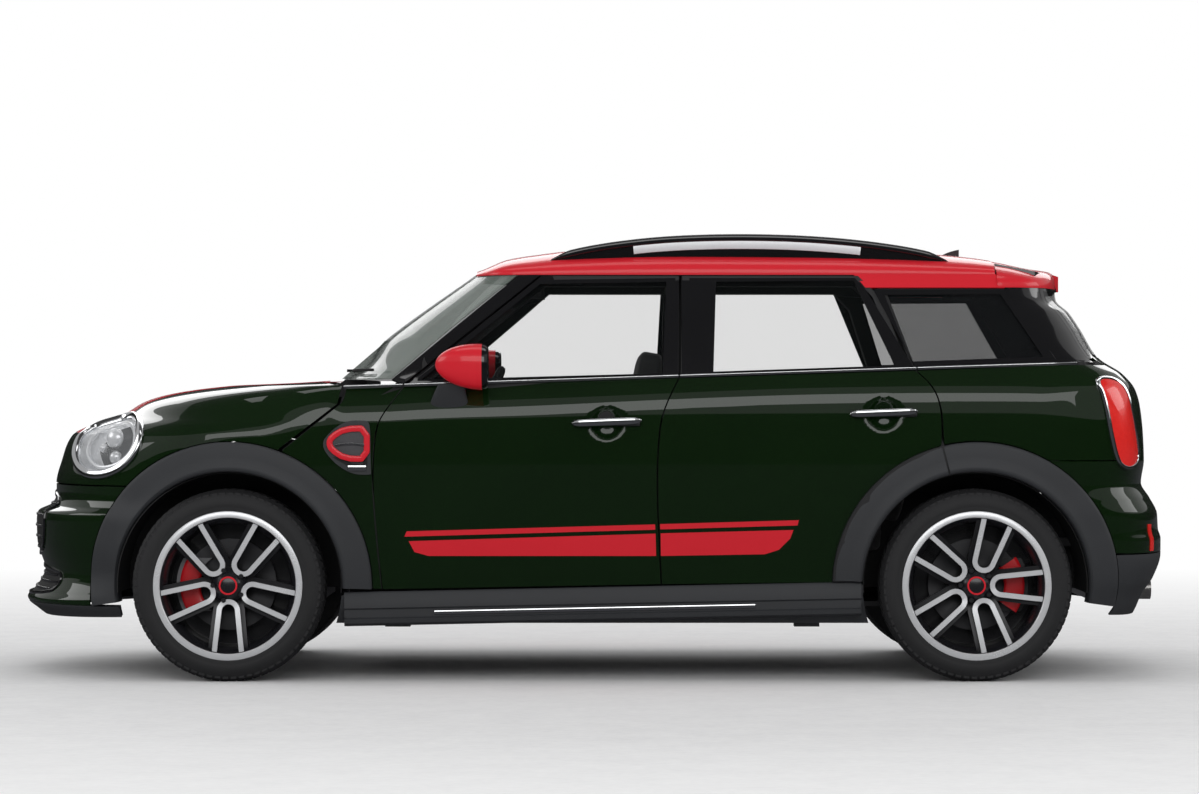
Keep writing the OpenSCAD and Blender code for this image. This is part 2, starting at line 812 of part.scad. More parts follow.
module bulkhead() {
  color("#26282a") meshed() union() {
    difference() {
      intersection() {
        inset_body(frame_in_t + seat_gap);
        bulkhead_plate(half_w);
      }
      wheel_houses(20);
    }
    intersection() {
      inset_body(hood_t + 2);
      bulkhead_plate(rail_y - 10);
      cube([body_length, body_width, 2 * (pillar_low[1] - 4)], center = true);
    }
    intersection() {
      inset_body(hood_t + 2 * seat_gap);
      translate([bulkhead_x + 5, 10 - rail_y, cowl_low_z])
        cube([cowl_x + 8 - bulkhead_x, 2 * rail_y - 20, pillar_low[1] - 2 - cowl_low_z]);
    }
  }
}
rail_mid = half_w - 477;
rail_half = 35;
engine_gap = 30;
engine_size = [560, 2 * (rail_mid - rail_half - engine_gap), 430];
module engine_block() {
  color("#55575a") translate([fx - 300, -engine_size[1] / 2, king_low + cross_h + seat_gap])
    cube(engine_size);
}
// Front carrier: two rails, cross beams, wheel arms and the kingpins
rail_low_z = 330;
rail_top_z = 430;
cross_h = 60;
beam_x = half_l - 210;
beam_t = 40;
king_y = wheel_y - 70;
king_low = axle_z - 140;
king_high = axle_z + 140;
arm_t = 28;
arm_in_y = rail_mid - rail_half;
beam_half = rail_mid + 25;
module front_subframe() {
  color("#3c3e40") union() {
    for (s = [-1, 1]) {
      translate([bulkhead_x + bulkhead_t + seat_gap, s * rail_mid - rail_half, rail_low_z])
        cube([beam_x + 5 - bulkhead_x - bulkhead_t, 2 * rail_half, rail_top_z - rail_low_z]);
      for (z = [king_low, king_high - arm_t]) {
        translate([fx - 22, s > 0 ? arm_in_y : -king_y, z]) cube([44, king_y - arm_in_y, arm_t]);
        translate([fx, s * king_y, z]) cylinder(r = 28, h = arm_t);
      }
      translate([fx, s * king_y, king_low]) cylinder(r = kingpin_r - pin_gap, h = king_high - king_low);
      translate([fx - 40, s * rail_mid - rail_half, king_low]) cube([80, 2 * rail_half, king_high - king_low]);
    }
    translate([fx - 60, -beam_half, king_low]) cube([120, 2 * beam_half, cross_h]);
    translate([beam_x, -beam_half, rail_low_z]) cube([beam_t, 2 * beam_half, 60]);
    for (s = [-1, 1]) translate([lamp_x - 40, s * rail_mid - rail_half, rail_top_z - 5])
      cube([80, 2 * rail_half, lamp_z - rail_top_z]);
  }
}
// Wheel parts are drawn about the wheel's own middle, with y pointing outwards
disc_in = -36;
disc_out = -14;
spindle_end = 60;
module spindle() {
  translate([0, -wheel_y + king_y, 0]) rotate([-90, 0, 0])
    cylinder(r = hub_bore_r - pin_gap, h = wheel_y - king_y + spindle_end);
}
caliper_gap = 5;
caliper_w = 12;
module brake_clamp() {
  translate([0, disc_in - caliper_gap - caliper_w, 0]) rotate([-90, 0, 0]) difference() {
    linear_extrude(disc_out - disc_in + 2 * (caliper_gap + caliper_w)) difference() {
      intersection() {
        circle(r = disc_r + 28);
        translate([0, -95]) square([disc_r + 40, 190]);
      }
      circle(r = disc_r - 50);
    }
    translate([0, 0, caliper_w]) cylinder(r = disc_r + caliper_gap, h = disc_out - disc_in + 2 * caliper_gap);
  }
}
module knuckle(left) {
  color("#707276") side(left) translate([fx, wheel_y, axle_z]) difference() {
    union() {
      translate([0, king_y - wheel_y, king_low + arm_t + 1 - axle_z])
        cylinder(r = 30, h = king_high - king_low - 2 * arm_t - 2);
      spindle();
      brake_clamp();
      translate([0, disc_in - caliper_gap - caliper_w, -30]) cube([disc_r - 20, caliper_w, 60]);
    }
    translate([0, king_y - wheel_y, -axle_z]) cylinder(r = kingpin_r, h = roof_height);
  }
}
module knuckle_left() { knuckle(true); }
module knuckle_right() { knuckle(false); }

// Rear axle beam with its trailing arms, spindles and brake clamps
beam_r = 45;
module rear_subframe() {
  color("#3c3e40") union() {
    translate([rx, 0, axle_z]) rotate([90, 0, 0]) cylinder(r = beam_r, h = 2 * king_y, center = true);
    for (s = [0, 1]) mirror([0, s, 0]) {
      translate([rx, wheel_y, axle_z]) {
        spindle();
        mirror([1, 0, 0]) brake_clamp();
        translate([-disc_r + 20, disc_in - caliper_gap - caliper_w, -30]) cube([disc_r - 20, caliper_w, 60]);
      }
      translate([rx, 470, axle_z - 30]) cube([140, 60, 60]);
      translate([rx - 40, 440, axle_z]) cube([80, 60, deck_z - floor_t - seat_gap - axle_z]);
    }
  }
}
// Exhaust: a pipe along the floor, a silencer across the tail and two tips
exhaust_z = floor_z - 32;
module exhaust() {
  color("#8c8e92") union() {
    translate([rx + 520, 120, exhaust_z]) rotate([0, 90, 0]) cylinder(r = 28, h = fx - rx - 1000);
    translate([rx + 500, 80, exhaust_z + 20]) cube([90, 80, floor_z - seat_gap - exhaust_z - 20]);
    translate([fx - 600, 80, exhaust_z + 20]) cube([90, 80, floor_z - seat_gap - exhaust_z - 20]);
    translate([tail_x - 520, 0, 330]) rotate([90, 0, 0]) cylinder(r = 80, h = 700, center = true);
    for (y = [-300, 240]) translate([tail_x - 560, y, 330]) cube([60, 60, deck_z - floor_t - seat_gap - 330]);
    exhaust_tips(0);
  }
}
module exhaust_tips(grow) {
  for (y = [-250, 250]) translate([-half_l + 88, y, 300]) rotate([0, 90, 0])
    cylinder(r = 38 + grow, h = 202);
}

// Inside the cabin
module dashboard() {
  color("#202224") meshed() union() {
    intersection() {
      inset_body(frame_in_t + seat_gap);
      wide_prism() translate([bulkhead_x, 0]) polygon([[-seat_gap, 620], [-seat_gap, 1010], [-160, 1045],
        [-330, 1000], [-350, 900], [-220, 620]]);
    }
    translate([bulkhead_x - 420, 370, 960]) rotate([0, 65, 0]) rotate_extrude($fn = 24)
      translate([170, 0]) circle(r = 16, $fn = 8);
    translate([bulkhead_x - 420, 370, 960]) rotate([0, 65, 0])
      cylinder(r = 60, h = 30, center = true, $fn = 20);
    translate([bulkhead_x - 440, 355, 945]) cube([120, 30, 30]);
    translate([bulkhead_x - 424, 205, 950]) cube([20, 330, 26]);
  }
}
module seat_profile(w) {
  translate([0, w / 2, 0]) rotate([90, 0, 0]) linear_extrude(w) offset(40, $fn = 16) offset(-40, $fn = 16)
    children();
}
module front_seat() {
  seat_profile(480) polygon([[-260, floor_top + 100], [270, floor_top + 100], [290, 560], [-120, 540],
    [-250, 1010], [-360, 1000], [-300, 560]]);
  translate([-180, -120, floor_top + seat_gap]) cube([380, 240, 110]);
  translate([-350, -130, 990]) cube([90, 260, 190]);
}
module rear_bench() {
  seat_profile(1160) polygon([[-170, deck_z - 60], [300, deck_z - 60], [315, 580], [-70, 555], [-190, 1000],
    [-300, 990], [-240, 580], [-215, deck_z + 20]]);
  translate([0, -500, floor_top + seat_gap]) cube([260, 1000, 200]);
  for (y = [-370, 370]) translate([-290, y - 130, 980]) cube([90, 260, 150]);
}
module seats() {
  color("#2a2a2c") meshed() union() {
    for (y = [-370, 370]) translate([bx + 330, y, 0]) front_seat();
    translate([rx + 455, 0, 0]) rear_bench();
  }
}

// Wheels
module wheel_place(front, left) {
  side(left) translate([front ? fx : rx, wheel_y, axle_z]) rotate([90, 0, 180]) children();
}
module tyre(front, left) {
  h = tyre_w / 2;
  color("#2c2d2f") wheel_place(front, left) rotate_extrude($fn = 96) polygon([[rim_r + seat_gap, -h + 14],
    [rim_r + 20, -h + 9], [rim_r + 44, -h], [tyre_r - 40, -h + 2], [tyre_r - 12, -h + 14],
    [tyre_r, -h + 34], [tyre_r, h - 34], [tyre_r - 12, h - 14], [tyre_r - 40, h - 2], [rim_r + 44, h],
    [rim_r + 20, h - 9],
    [rim_r + seat_gap, h - 14]]);
}
module tyre_front_left() { tyre(true, true); }
module tyre_front_right() { tyre(true, false); }
module tyre_rear_left() { tyre(false, true); }
module tyre_rear_right() { tyre(false, false); }

spokes = 5;
// Each spoke is a loop: half the distance between its arms, half their width, and the place of its round end
spoke_half = 36;
spoke_w = 10;
spoke_turn = 112;
hub_r = 62;
barrel_t = 9;
rim_edge = 16;
module slot(half) {
  translate([spoke_turn, 0]) circle(r = half);
  translate([spoke_turn, -half]) square([rim_r, 2 * half]);
}
module rim(front, left) {
  h = tyre_w / 2 - 12;
  color("#a8aaae") wheel_place(front, left) difference() {
    union() {
      rotate_extrude($fn = 96) polygon([[rim_r, -h], [rim_r - barrel_t, -h],
        [rim_r - 24 - barrel_t, -h + 40], [rim_r - 24 - barrel_t, h - 30], [rim_r - 20, h + 9],
        [rim_r + rim_edge, h + 9], [rim_r + rim_edge, h + 4], [rim_r, h - 2], [rim_r, h - 26],
        [rim_r - 24, h - 40], [rim_r - 24, -h + 44]]);
      translate([0, 0, disc_in]) cylinder(r = disc_r, h = disc_out - disc_in, $fn = 96);
      translate([0, 0, disc_in]) cylinder(r = hub_r, h = h - 20 - disc_in);
      translate([0, 0, h - 44]) linear_extrude(30) intersection() {
        circle(r = rim_r - 22);
        union() {
          circle(r = spoke_turn - spoke_half + spoke_w);
          for (i = [0:spokes - 1]) rotate((front ? -90 : 0) + i * 360 / spokes) difference() {
            slot(spoke_half + spoke_w);
            slot(spoke_half - spoke_w);
          }
        }
      }
    }
    translate([0, 0, -tyre_w]) cylinder(r = hub_bore_r, h = 2 * tyre_w);
  }
}
module rim_front_left() { rim(true, true); }
module rim_front_right() { rim(true, false); }
module rim_rear_left() { rim(false, true); }
module rim_rear_right() { rim(false, false); }

floor_pan();
engine_block();
front_subframe();
rear_subframe();
exhaust();
sill_panels();
body_frame();
front_fenders();
bulkhead();
fixed_glass();
roof_panel();
roof_rails();
rear_quarters();
front_bumper();
front_grille();
headlamps();
rear_bumper();
tail_lamps();
wheel_flares();
dashboard();
seats();
hood();
door_front_left();
door_front_right();
door_rear_left();
door_rear_right();
glass_front_left();
glass_front_right();
glass_rear_left();
glass_rear_right();
mirror_left();
mirror_right();
tailgate();
tailgate_glass();
spoiler();
knuckle_left();
knuckle_right();
tyre_front_left();
tyre_front_right();
tyre_rear_left();
tyre_rear_right();
rim_front_left();
rim_front_right();
rim_rear_left();
rim_rear_right();
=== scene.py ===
import bpy
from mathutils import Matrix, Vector
import numpy as np


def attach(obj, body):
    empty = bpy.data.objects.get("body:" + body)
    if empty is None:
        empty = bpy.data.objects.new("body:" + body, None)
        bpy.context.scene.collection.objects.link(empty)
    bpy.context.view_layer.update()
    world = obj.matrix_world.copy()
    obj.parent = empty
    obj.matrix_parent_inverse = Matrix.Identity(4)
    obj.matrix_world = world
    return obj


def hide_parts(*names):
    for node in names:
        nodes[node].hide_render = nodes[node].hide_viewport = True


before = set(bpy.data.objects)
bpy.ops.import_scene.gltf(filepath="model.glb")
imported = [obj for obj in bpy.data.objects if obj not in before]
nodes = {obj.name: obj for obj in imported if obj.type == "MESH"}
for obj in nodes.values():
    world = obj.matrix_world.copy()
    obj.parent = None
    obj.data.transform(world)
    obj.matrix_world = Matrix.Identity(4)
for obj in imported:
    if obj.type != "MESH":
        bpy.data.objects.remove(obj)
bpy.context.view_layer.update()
scene = bpy.context.scene
scene.view_settings.view_transform = "Standard"
print("frame loaded:", len(nodes), "nodes")

# camera: the photograph looks square at the left side from about 15 m
shot = {"x": -0.010, "y": 14.9, "z": 1.015, "seenWidth": 4.272, "seenAt": 0.9}
cameraData = bpy.data.cameras.new("sideCamera")
cameraData.lens = 36 * (shot["y"] - shot["seenAt"]) / shot["seenWidth"]
camera = bpy.data.objects.new("sideCamera", cameraData)
camera.location = (shot["x"], shot["y"], shot["z"])
camera.rotation_euler = (np.pi / 2, 0, np.pi)
scene.collection.objects.link(camera)
scene.camera = camera


# node helpers and finishes
def newGroup(name, inputs, outputs):
    group = bpy.data.node_groups.new(name, "ShaderNodeTree")
    for label, kind, value in inputs:
        socket = group.interface.new_socket(label, in_out="INPUT", socket_type="NodeSocket" + kind)
        if value is not None:
            socket.default_value = value
    for label, kind in outputs:
        group.interface.new_socket(label, in_out="OUTPUT", socket_type="NodeSocket" + kind)
    start, end = group.nodes.new("NodeGroupInput"), group.nodes.new("NodeGroupOutput")
    return group, start, end


def add(tree, kind):
    return tree.nodes.new("ShaderNode" + kind)


def wire(tree, *rows):
    # each row: node, output, node, input
    for a, output, b, socket in rows:
        tree.links.new(a.outputs[output], b.inputs[socket])


def fill(node, values):
    for label, value in values.items():
        node.inputs[label].default_value = value


def mathNode(tree, kind, a, b):
    node = add(tree, "Math")
    node.operation = kind
    for i, value in enumerate((a, b)):
        if isinstance(value, (int, float)):
            node.inputs[i].default_value = value
        else:
            tree.links.new(value, node.inputs[i])
    return node.outputs[0]


def weighted(tree, a, shareA, b, shareB):
    return mathNode(tree, "ADD", mathNode(tree, "MULTIPLY", a, shareA), mathNode(tree, "MULTIPLY", b, shareB))


def toned(group, start, end, share):
    # blend from the dark to the light colour
    tone = add(group, "Mix")
    tone.data_type = "RGBA"
    group.links.new(share, tone.inputs["Factor"])
    wire(group, (start, "Dark", tone, "A"), (start, "Light", tone, "B"), (tone, "Result", end, "Color"))


def mixed(tree, share, first, second):
    node = add(tree, "MixShader")
    for k, socket in enumerate((share, first, second)):
        tree.links.new(socket, node.inputs[k])
    return node.outputs[0]


# flakes: tiny cells, each with its own brightness, over a slow cloud of tone
colours = [("Vector", "Vector", None), ("Dark", "Color", None), ("Light", "Color", None)]
flakes, start, end = newGroup("metalFlakes", colours + [("Scale", "Float", 900.0)],
    [("Color", "Color"), ("Height", "Float")])
cells, cloud, bright = add(flakes, "TexVoronoi"), add(flakes, "TexNoise"), add(flakes, "SeparateColor")
fill(cloud, {"Scale": 3.0})
wire(flakes, (start, "Vector", cells, "Vector"), (start, "Vector", cloud, "Vector"), (start, "Scale", cells, "Scale"),
     (cells, "Color", bright, "Color"), (bright, "Red", end, "Height"))
toned(flakes, start, end, weighted(flakes, bright.outputs["Red"], 0.6, cloud.outputs["Fac"], 0.3))

# grain: moulded or woven surface, colour and roughness follow a fine noise
grain, start, end = newGroup("mouldedGrain", colours + [("Scale", "Float", 600.0), ("Rough", "Float", 0.6),
    ("Spread", "Float", 0.2)],
    [("Color", "Color"), ("Roughness", "Float"), ("Height", "Float")])
fine, slow = add(grain, "TexNoise"), add(grain, "TexNoise")
fill(slow, {"Scale": 6.0, "Detail": 4.0})
wire(grain, (start, "Vector", fine, "Vector"), (start, "Vector", slow, "Vector"), (start, "Scale", fine, "Scale"),
     (fine, "Fac", end, "Height"))
share = weighted(grain, fine.outputs["Fac"], 0.5, slow.outputs["Fac"], 0.5)
toned(grain, start, end, share)
offset = mathNode(grain, "MULTIPLY", mathNode(grain, "SUBTRACT", share, 0.5), start.outputs["Spread"])
grain.links.new(mathNode(grain, "ADD", start.outputs["Rough"], offset), end.inputs["Roughness"])


def finish(name, slot, dark, light, group="grain", scale=600, rough=0.5, spread=0.2, metal=0.0, coat=0.0,
           coatRough=0.03, bump=0.0, specular=0.5, sheen=0.0):
    material = bpy.data.materials.new(name)
    material.use_nodes = True
    tree = material.node_tree
    shader = tree.nodes["Principled BSDF"]
    where = add(tree, "TexCoord")
    effect = add(tree, "Group")
    effect.node_tree = flakes if group == "flakes" else grain
    wire(tree, (where, "Object", effect, "Vector"))
    fill(effect, {"Dark": (*dark, 1), "Light": (*light, 1), "Scale": scale})
    wire(tree, (effect, "Color", shader, "Base Color"))
    if group == "flakes":
        fill(shader, {"Roughness": rough})
    else:
        fill(effect, {"Rough": rough, "Spread": spread})
        wire(tree, (effect, "Roughness", shader, "Roughness"))
    if bump:
        relief = add(tree, "Bump")
        fill(relief, {"Strength": bump, "Distance": 0.001})
        wire(tree, (effect, "Height", relief, "Height"), (relief, "Normal", shader, "Normal"))
    fill(shader, {"Metallic": metal, "Coat Weight": coat, "Coat Roughness": coatRough,
        "Specular IOR Level": specular, "Sheen Weight": sheen})
    material["slot"] = slot
    return material


def clearFinish(name, slot, tint, rough, opacity, specular=0.5):
    # thin clear sheet: part see-through by Alpha, with the shader's own gloss
    material = finish(name, slot, tint, tuple(1.15 * c for c in tint), scale=40, rough=rough, spread=0.02,
        specular=specular)
    shader = material.node_tree.nodes["Principled BSDF"]
    fill(shader, {"Alpha": opacity})
    return material


paintGreen = finish("greenPaint", "paint_green", (0.0012, 0.0068, 0.0009), (0.0046, 0.0190, 0.0030), "flakes", 1400,
    0.5, coat=1.0, coatRough=0.02, specular=0.03)
paintRed = finish("redPaint", "paint_red", (0.56, 0.008, 0.018), (0.68, 0.014, 0.028), "flakes", 1400, 0.42, coat=0.5,
    coatRough=0.04, specular=0.2)
darkPlastic = finish("darkPlastic", "dark_plastic", (0.022, 0.024, 0.027), (0.034, 0.036, 0.041), scale=900,
    rough=0.62, spread=0.14, bump=0.12)
glossBlack = finish("glossBlack", "gloss_black", (0.004, 0.004, 0.005), (0.008, 0.008, 0.009), scale=300, rough=0.12,
    spread=0.05, coat=0.6)
softBlack = finish("softBlack", "cabin", (0.006, 0.006, 0.007), (0.012, 0.012, 0.013), scale=700, rough=0.75,
    spread=0.15, bump=0.1)
chrome = finish("chromeTrim", "rim", (0.74, 0.75, 0.77), (0.84, 0.85, 0.87), scale=200, rough=0.10, spread=0.06,
    metal=1.0)
machined = finish("machinedAlloy", "rim", (0.66, 0.67, 0.69), (0.84, 0.85, 0.87), scale=500, rough=0.26, spread=0.12,
    metal=0.4)
satinSilver = finish("satinSilver", "rim", (0.62, 0.63, 0.65), (0.78, 0.79, 0.81), scale=300, rough=0.35, spread=0.1,
    metal=0.25)
rimBlack = finish("rimBlack", "rim", (0.008, 0.008, 0.010), (0.016, 0.016, 0.019), scale=500, rough=0.28, spread=0.1,
    coat=0.4)
rimGrey = finish("rimGrey", "rim", (0.012, 0.012, 0.014), (0.020, 0.020, 0.023), scale=500, rough=0.35, spread=0.1,
    metal=0.2)
caliperRed = finish("caliperRed", "paint_red", (0.42, 0.004, 0.008), (0.55, 0.008, 0.014), scale=300, rough=0.3,
    spread=0.1, coat=0.5)
rubber = finish("tyreRubber", "tyre", (0.011, 0.011, 0.012), (0.020, 0.020, 0.022), scale=500, rough=0.72,
    spread=0.15, bump=0.15)
discSteel = finish("discSteel", "steel", (0.07, 0.07, 0.075), (0.12, 0.12, 0.125), scale=400, rough=0.4, spread=0.15,
    metal=0.9)
underSteel = finish("underSteel", "under", (0.020, 0.020, 0.022), (0.035, 0.035, 0.038), scale=200, rough=0.6,
    spread=0.2, bump=0.1)
castAlloy = finish("castAlloy", "cast", (0.18, 0.18, 0.19), (0.28, 0.28, 0.29), scale=250, rough=0.5, spread=0.2,
    metal=0.7, bump=0.15)
pipeSteel = finish("pipeSteel", "steel", (0.32, 0.31, 0.30), (0.48, 0.47, 0.46), scale=120, rough=0.32, spread=0.2,
    metal=0.9)
sideGlass = clearFinish("sideGlass", "glass", (0.020, 0.024, 0.024), 0.02, 0.08, 0.6)
screenGlass = clearFinish("screenGlass", "glass", (0.17, 0.20, 0.18), 0.03, 0.5, 0.4)
darkGlass = clearFinish("darkGlass", "glass", (0.010, 0.011, 0.012), 0.02, 0.42, 0.6)
lensClear = clearFinish("lensClear", "lamp_clear", (0.60, 0.62, 0.64), 0.02, 0.16, 0.6)
lampRed = finish("lampRed", "lamp_red", (0.60, 0.006, 0.006), (0.85, 0.020, 0.012), scale=90, rough=0.25, spread=0.1,
    coat=0.6)
lampSilver = finish("lampSilver", "lamp_clear", (0.66, 0.67, 0.69), (0.86, 0.87, 0.89), scale=60, rough=0.2,
    spread=0.1, metal=0.45)
cabinTrim = finish("cabinTrim", "cabin", (0.010, 0.010, 0.011), (0.020, 0.020, 0.022), scale=500, rough=0.7,
    spread=0.2, bump=0.2)
headLining = finish("headLining", "cabin", (0.16, 0.16, 0.16), (0.22, 0.22, 0.22), scale=800, rough=0.9, spread=0.1,
    bump=0.2)
seatCloth = finish("seatCloth", "seat", (0.012, 0.012, 0.013), (0.028, 0.028, 0.030), scale=1100, rough=0.85,
    spread=0.1, bump=0.3, sheen=0.2)
mesh = finish("scuttleMesh", "dark_plastic", (0.010, 0.010, 0.012), (0.10, 0.10, 0.11), scale=260, rough=0.5,
    spread=0.2, bump=0.5)
print("finishes ready")

# the body's shape, in millimetres
car = {"halfL": 2150.0, "halfW": 892.0, "fx": 1315.0, "rx": -1355.0, "axle": 342.0, "wheelY": 792.0, "flareR": 512.0,
       "roofTop": 1578.0, "roofEdge": 1458.0, "belt": 1080.0, "beltFall": 0.0325, "nosePower": 8, "tailPower": 22,
       "roofPower": 2.6}
shoulder = {"slope": 0.17, "curve": 0.0014, "soft": 30.0}
glassHouse = {"from": 1100.0, "inset": 60.0, "lean": 0.42, "curve": 0.00024}


def smoothTable(rows):
    # cubic pieces through the rows, with slopes that never overshoot
    xs, ys = np.array(sorted(rows), float).T
    h, d = np.diff(xs), np.diff(ys) / np.diff(xs)
    m = np.r_[d[0], np.zeros(len(xs) - 2), d[-1]]
    same = d[:-1] * d[1:] > 0
    a, b = 2 * h[1:] + h[:-1], h[1:] + 2 * h[:-1]
    m[1:-1] = np.where(same, (a + b) / (a / np.where(same, d[:-1], 1) + b / np.where(same, d[1:], 1)), 0)

    def at(x):
        x = np.clip(np.asarray(x, float), xs[0], xs[-1])
        i = np.clip(np.searchsorted(xs, x) - 1, 0, len(h) - 1)
        t = (x - xs[i]) / h[i]
        return ((1 + 2 * t) * (1 - t) ** 2 * ys[i] + t * (1 - t) ** 2 * h[i] * m[i]
                + t * t * (3 - 2 * t) * ys[i + 1] + t * t * (t - 1) * h[i] * m[i + 1])
    return at


noseBack = smoothTable([(200, 90), (230, 50), (271, 8), (300, 34), (345, 66), (375, 76), (430, 60), (486, 46),
    (560, 44), (590, 50),
    (615, 98), (645, 117), (672, 118), (691, 118), (780, 139), (870, 176), (907, 250), (940, 355), (1002, 471),
    (1052, 768), (1064, 1032), (1075, 1174),
    (1240, 1366), (1484, 1708)])
tailBack = smoothTable([(200, 165), (220, 150), (300, 115), (353, 78), (442, 50), (495, 50), (530, 60), (587, 64),
    (644, 92),
    (700, 124), (784, 113), (871, 116), (985, 128), (1042, 144), (1099, 190), (1156, 276), (1269, 345), (1326, 383),
    (1373, 430),
    (1480, 440), (1493, 550)])
roofDrop = smoothTable([(-1760, 112), (-1710, 97), (-1600, 85), (-1490, 62), (-1377, 43), (-1100, 20), (-700, 4),
    (-300, 0), (100, 18), (215, 32),
    (328, 51), (430, 93), (442, 96)])
lowTuck = smoothTable([(200, 92), (260, 54), (340, 30), (480, 12), (640, 2), (780, 0), (900, 4), (1000, 12),
    (1100, 22)])
creaseZ = smoothTable([(-1900, 1060), (-1750, 1035), (-1579, 1006), (-1230, 1006), (-877, 1002), (345, 952),
    (612, 943), (771, 935),
    (898, 934), (965, 960), (1211, 886), (1330, 884), (1452, 872), (1629, 792), (1800, 730)])


def reach(x, z):
    return car["halfL"] - np.where(x > 0, noseBack(z), tailBack(z))


def endFactor(x, z):
    # the sides close in an arc at both ends: root of 1 minus a high power of the share of the reach
    share = np.clip(np.abs(x) / reach(x, z), 0, 1)
    return np.sqrt(np.clip(1 - share ** np.where(x > 0, car["nosePower"], car["tailPower"]), 0, 1))


def sideY(x, z):
    # lower body: a tuck from the widest line, and above the shoulder crease a slope that grows with height
    h = z - creaseZ(x)
    h = 0.5 * (h + np.sqrt(h * h + shoulder["soft"]))
    return (car["halfW"] - lowTuck(z) - shoulder["slope"] * h - shoulder["curve"] * h * h) * endFactor(x, z)


def cabinHalf(z):
    # glass house: leans in with height
    h = z - glassHouse["from"]
    return car["halfW"] - glassHouse["inset"] - glassHouse["lean"] * h - glassHouse["curve"] * h ** 2


def cabinY(x, z):
    return cabinHalf(z) * endFactor(x, z)


def roofZ(x):
    return car["roofTop"] - roofDrop(x)


def endX(y, z, front):
    # nose or tail face: the same arc turned round to give x from y and z
    sign, power = (1, car["nosePower"]) if front else (-1, car["tailPower"])
    r = reach(np.full_like(z, sign), z)
    wide = car["halfW"] - lowTuck(z) - 0.3 * np.clip(z - 1000, 0, 200)
    return sign * r * np.clip(1 - (y / wide) ** 2, 0, 1) ** (1 / power)


# curves and grids
def along(points, n):
    # n points evenly spaced along a line of points
    p = np.array(points, float)
    s = np.r_[0, np.cumsum(np.linalg.norm(np.diff(p, axis=0), axis=1))]
    return np.stack([np.interp(np.linspace(0, s[-1], n), s, p[:, k]) for k in range(p.shape[1])], 1)


def rounded(points, times=3, closed=False):
    # each pass cuts every corner at a quarter of its sides
    p = np.array(points, float)
    for _ in range(times):
        a, b = (p, np.roll(p, -1, 0)) if closed else (p[:-1], p[1:])
        cut = np.stack([0.75 * a + 0.25 * b, 0.25 * a + 0.75 * b], 1).reshape(-1, p.shape[1])
        p = cut if closed else np.vstack([p[:1], cut, p[-1:]])
    return p


def closedLoop(points, n, times=2):
    # n points evenly spaced round a loop with its corners cut
    p = rounded(points, times, True)
    return along(np.vstack([p, p[:1]]), n + 1)[:-1]


def shrunk(loop, shares):
    # rings of a loop drawn in to its middle by each share
    c = loop.mean(0)
    return c + (loop - c)[:, None] * shares[None, :, None]


def signPower(a, p):
    return np.sign(a) * np.abs(a) ** p


def xyz(x, y, z):
    # points from three coordinates, each an array or one number
    return np.stack(np.broadcast_arrays(x, y, z), -1)


def overGrid(u, v):
    # two arrays over a grid, each from (first, last, count)
    return np.meshgrid(np.linspace(*u), np.linspace(*v), indexing="ij")


def patch(bottom, top, left, right, nu, nv):
    # blend of four edges: both pairs ruled, less the straight blend of the corners
    b, t, l, r = along(bottom, nu), along(top, nu), along(left, nv), along(right, nv)
    u, v = np.linspace(0, 1, nu)[:, None, None], np.linspace(0, 1, nv)[None, :, None]
    corners = (1 - u) * (1 - v) * b[0] + u * (1 - v) * b[-1] + (1 - u) * v * t[0] + u * v * t[-1]
    return (1 - v) * b[:, None] + v * t[:, None] + (1 - u) * l[None] + u * r[None] - corners


def quad(p, nu, nv):
    # straight-edged patch through four corners: low start, high start, high end, low end
    return patch([p[0], p[3]], [p[1], p[2]], [p[0], p[1]], [p[3], p[2]], nu, nv)


def onSide(xz, surface=sideY, out=0.0):
    return xyz(xz[..., 0], surface(xz[..., 0], xz[..., 1]) + out, xz[..., 1])


def wrapped(centre, edge, ns, nt, surface=sideY):
    # lines run from the middle of the car to a side edge, spaced by the square of the lateral parameter
    c, e = along(centre, ns), along(edge, ns)
    t = np.linspace(-1, 1, 2 * nt + 1)
    xz = c[:, None] + (e - c)[:, None] * (t ** 2)[None, :, None]
    return xyz(xz[..., 0], surface(xz[..., 0], xz[..., 1]) * np.sign(t), xz[..., 1])


def gridNormals(p, closeU=False, closeV=False):
    du = (np.roll(p, -1, 0) - np.roll(p, 1, 0)) if closeU else np.gradient(p, axis=0)
    dv = (np.roll(p, -1, 1) - np.roll(p, 1, 1)) if closeV else np.gradient(p, axis=1)
    n = np.cross(du, dv)
    return n / (np.linalg.norm(n, axis=2, keepdims=True) + 1e-9)


def gridFaces(nu, nv, closeU=False, closeV=False):
    i, j = np.meshgrid(np.arange(nu if closeU else nu - 1), np.arange(nv if closeV else nv - 1), indexing="ij")
    i, j = i.ravel(), j.ravel()
    k, l = (i + 1) % nu, (j + 1) % nv
    return np.stack([i * nv + j, k * nv + j, k * nv + l, i * nv + l], 1)


core = np.array([0.0, 0.0, 700.0])  # skins face away from this point


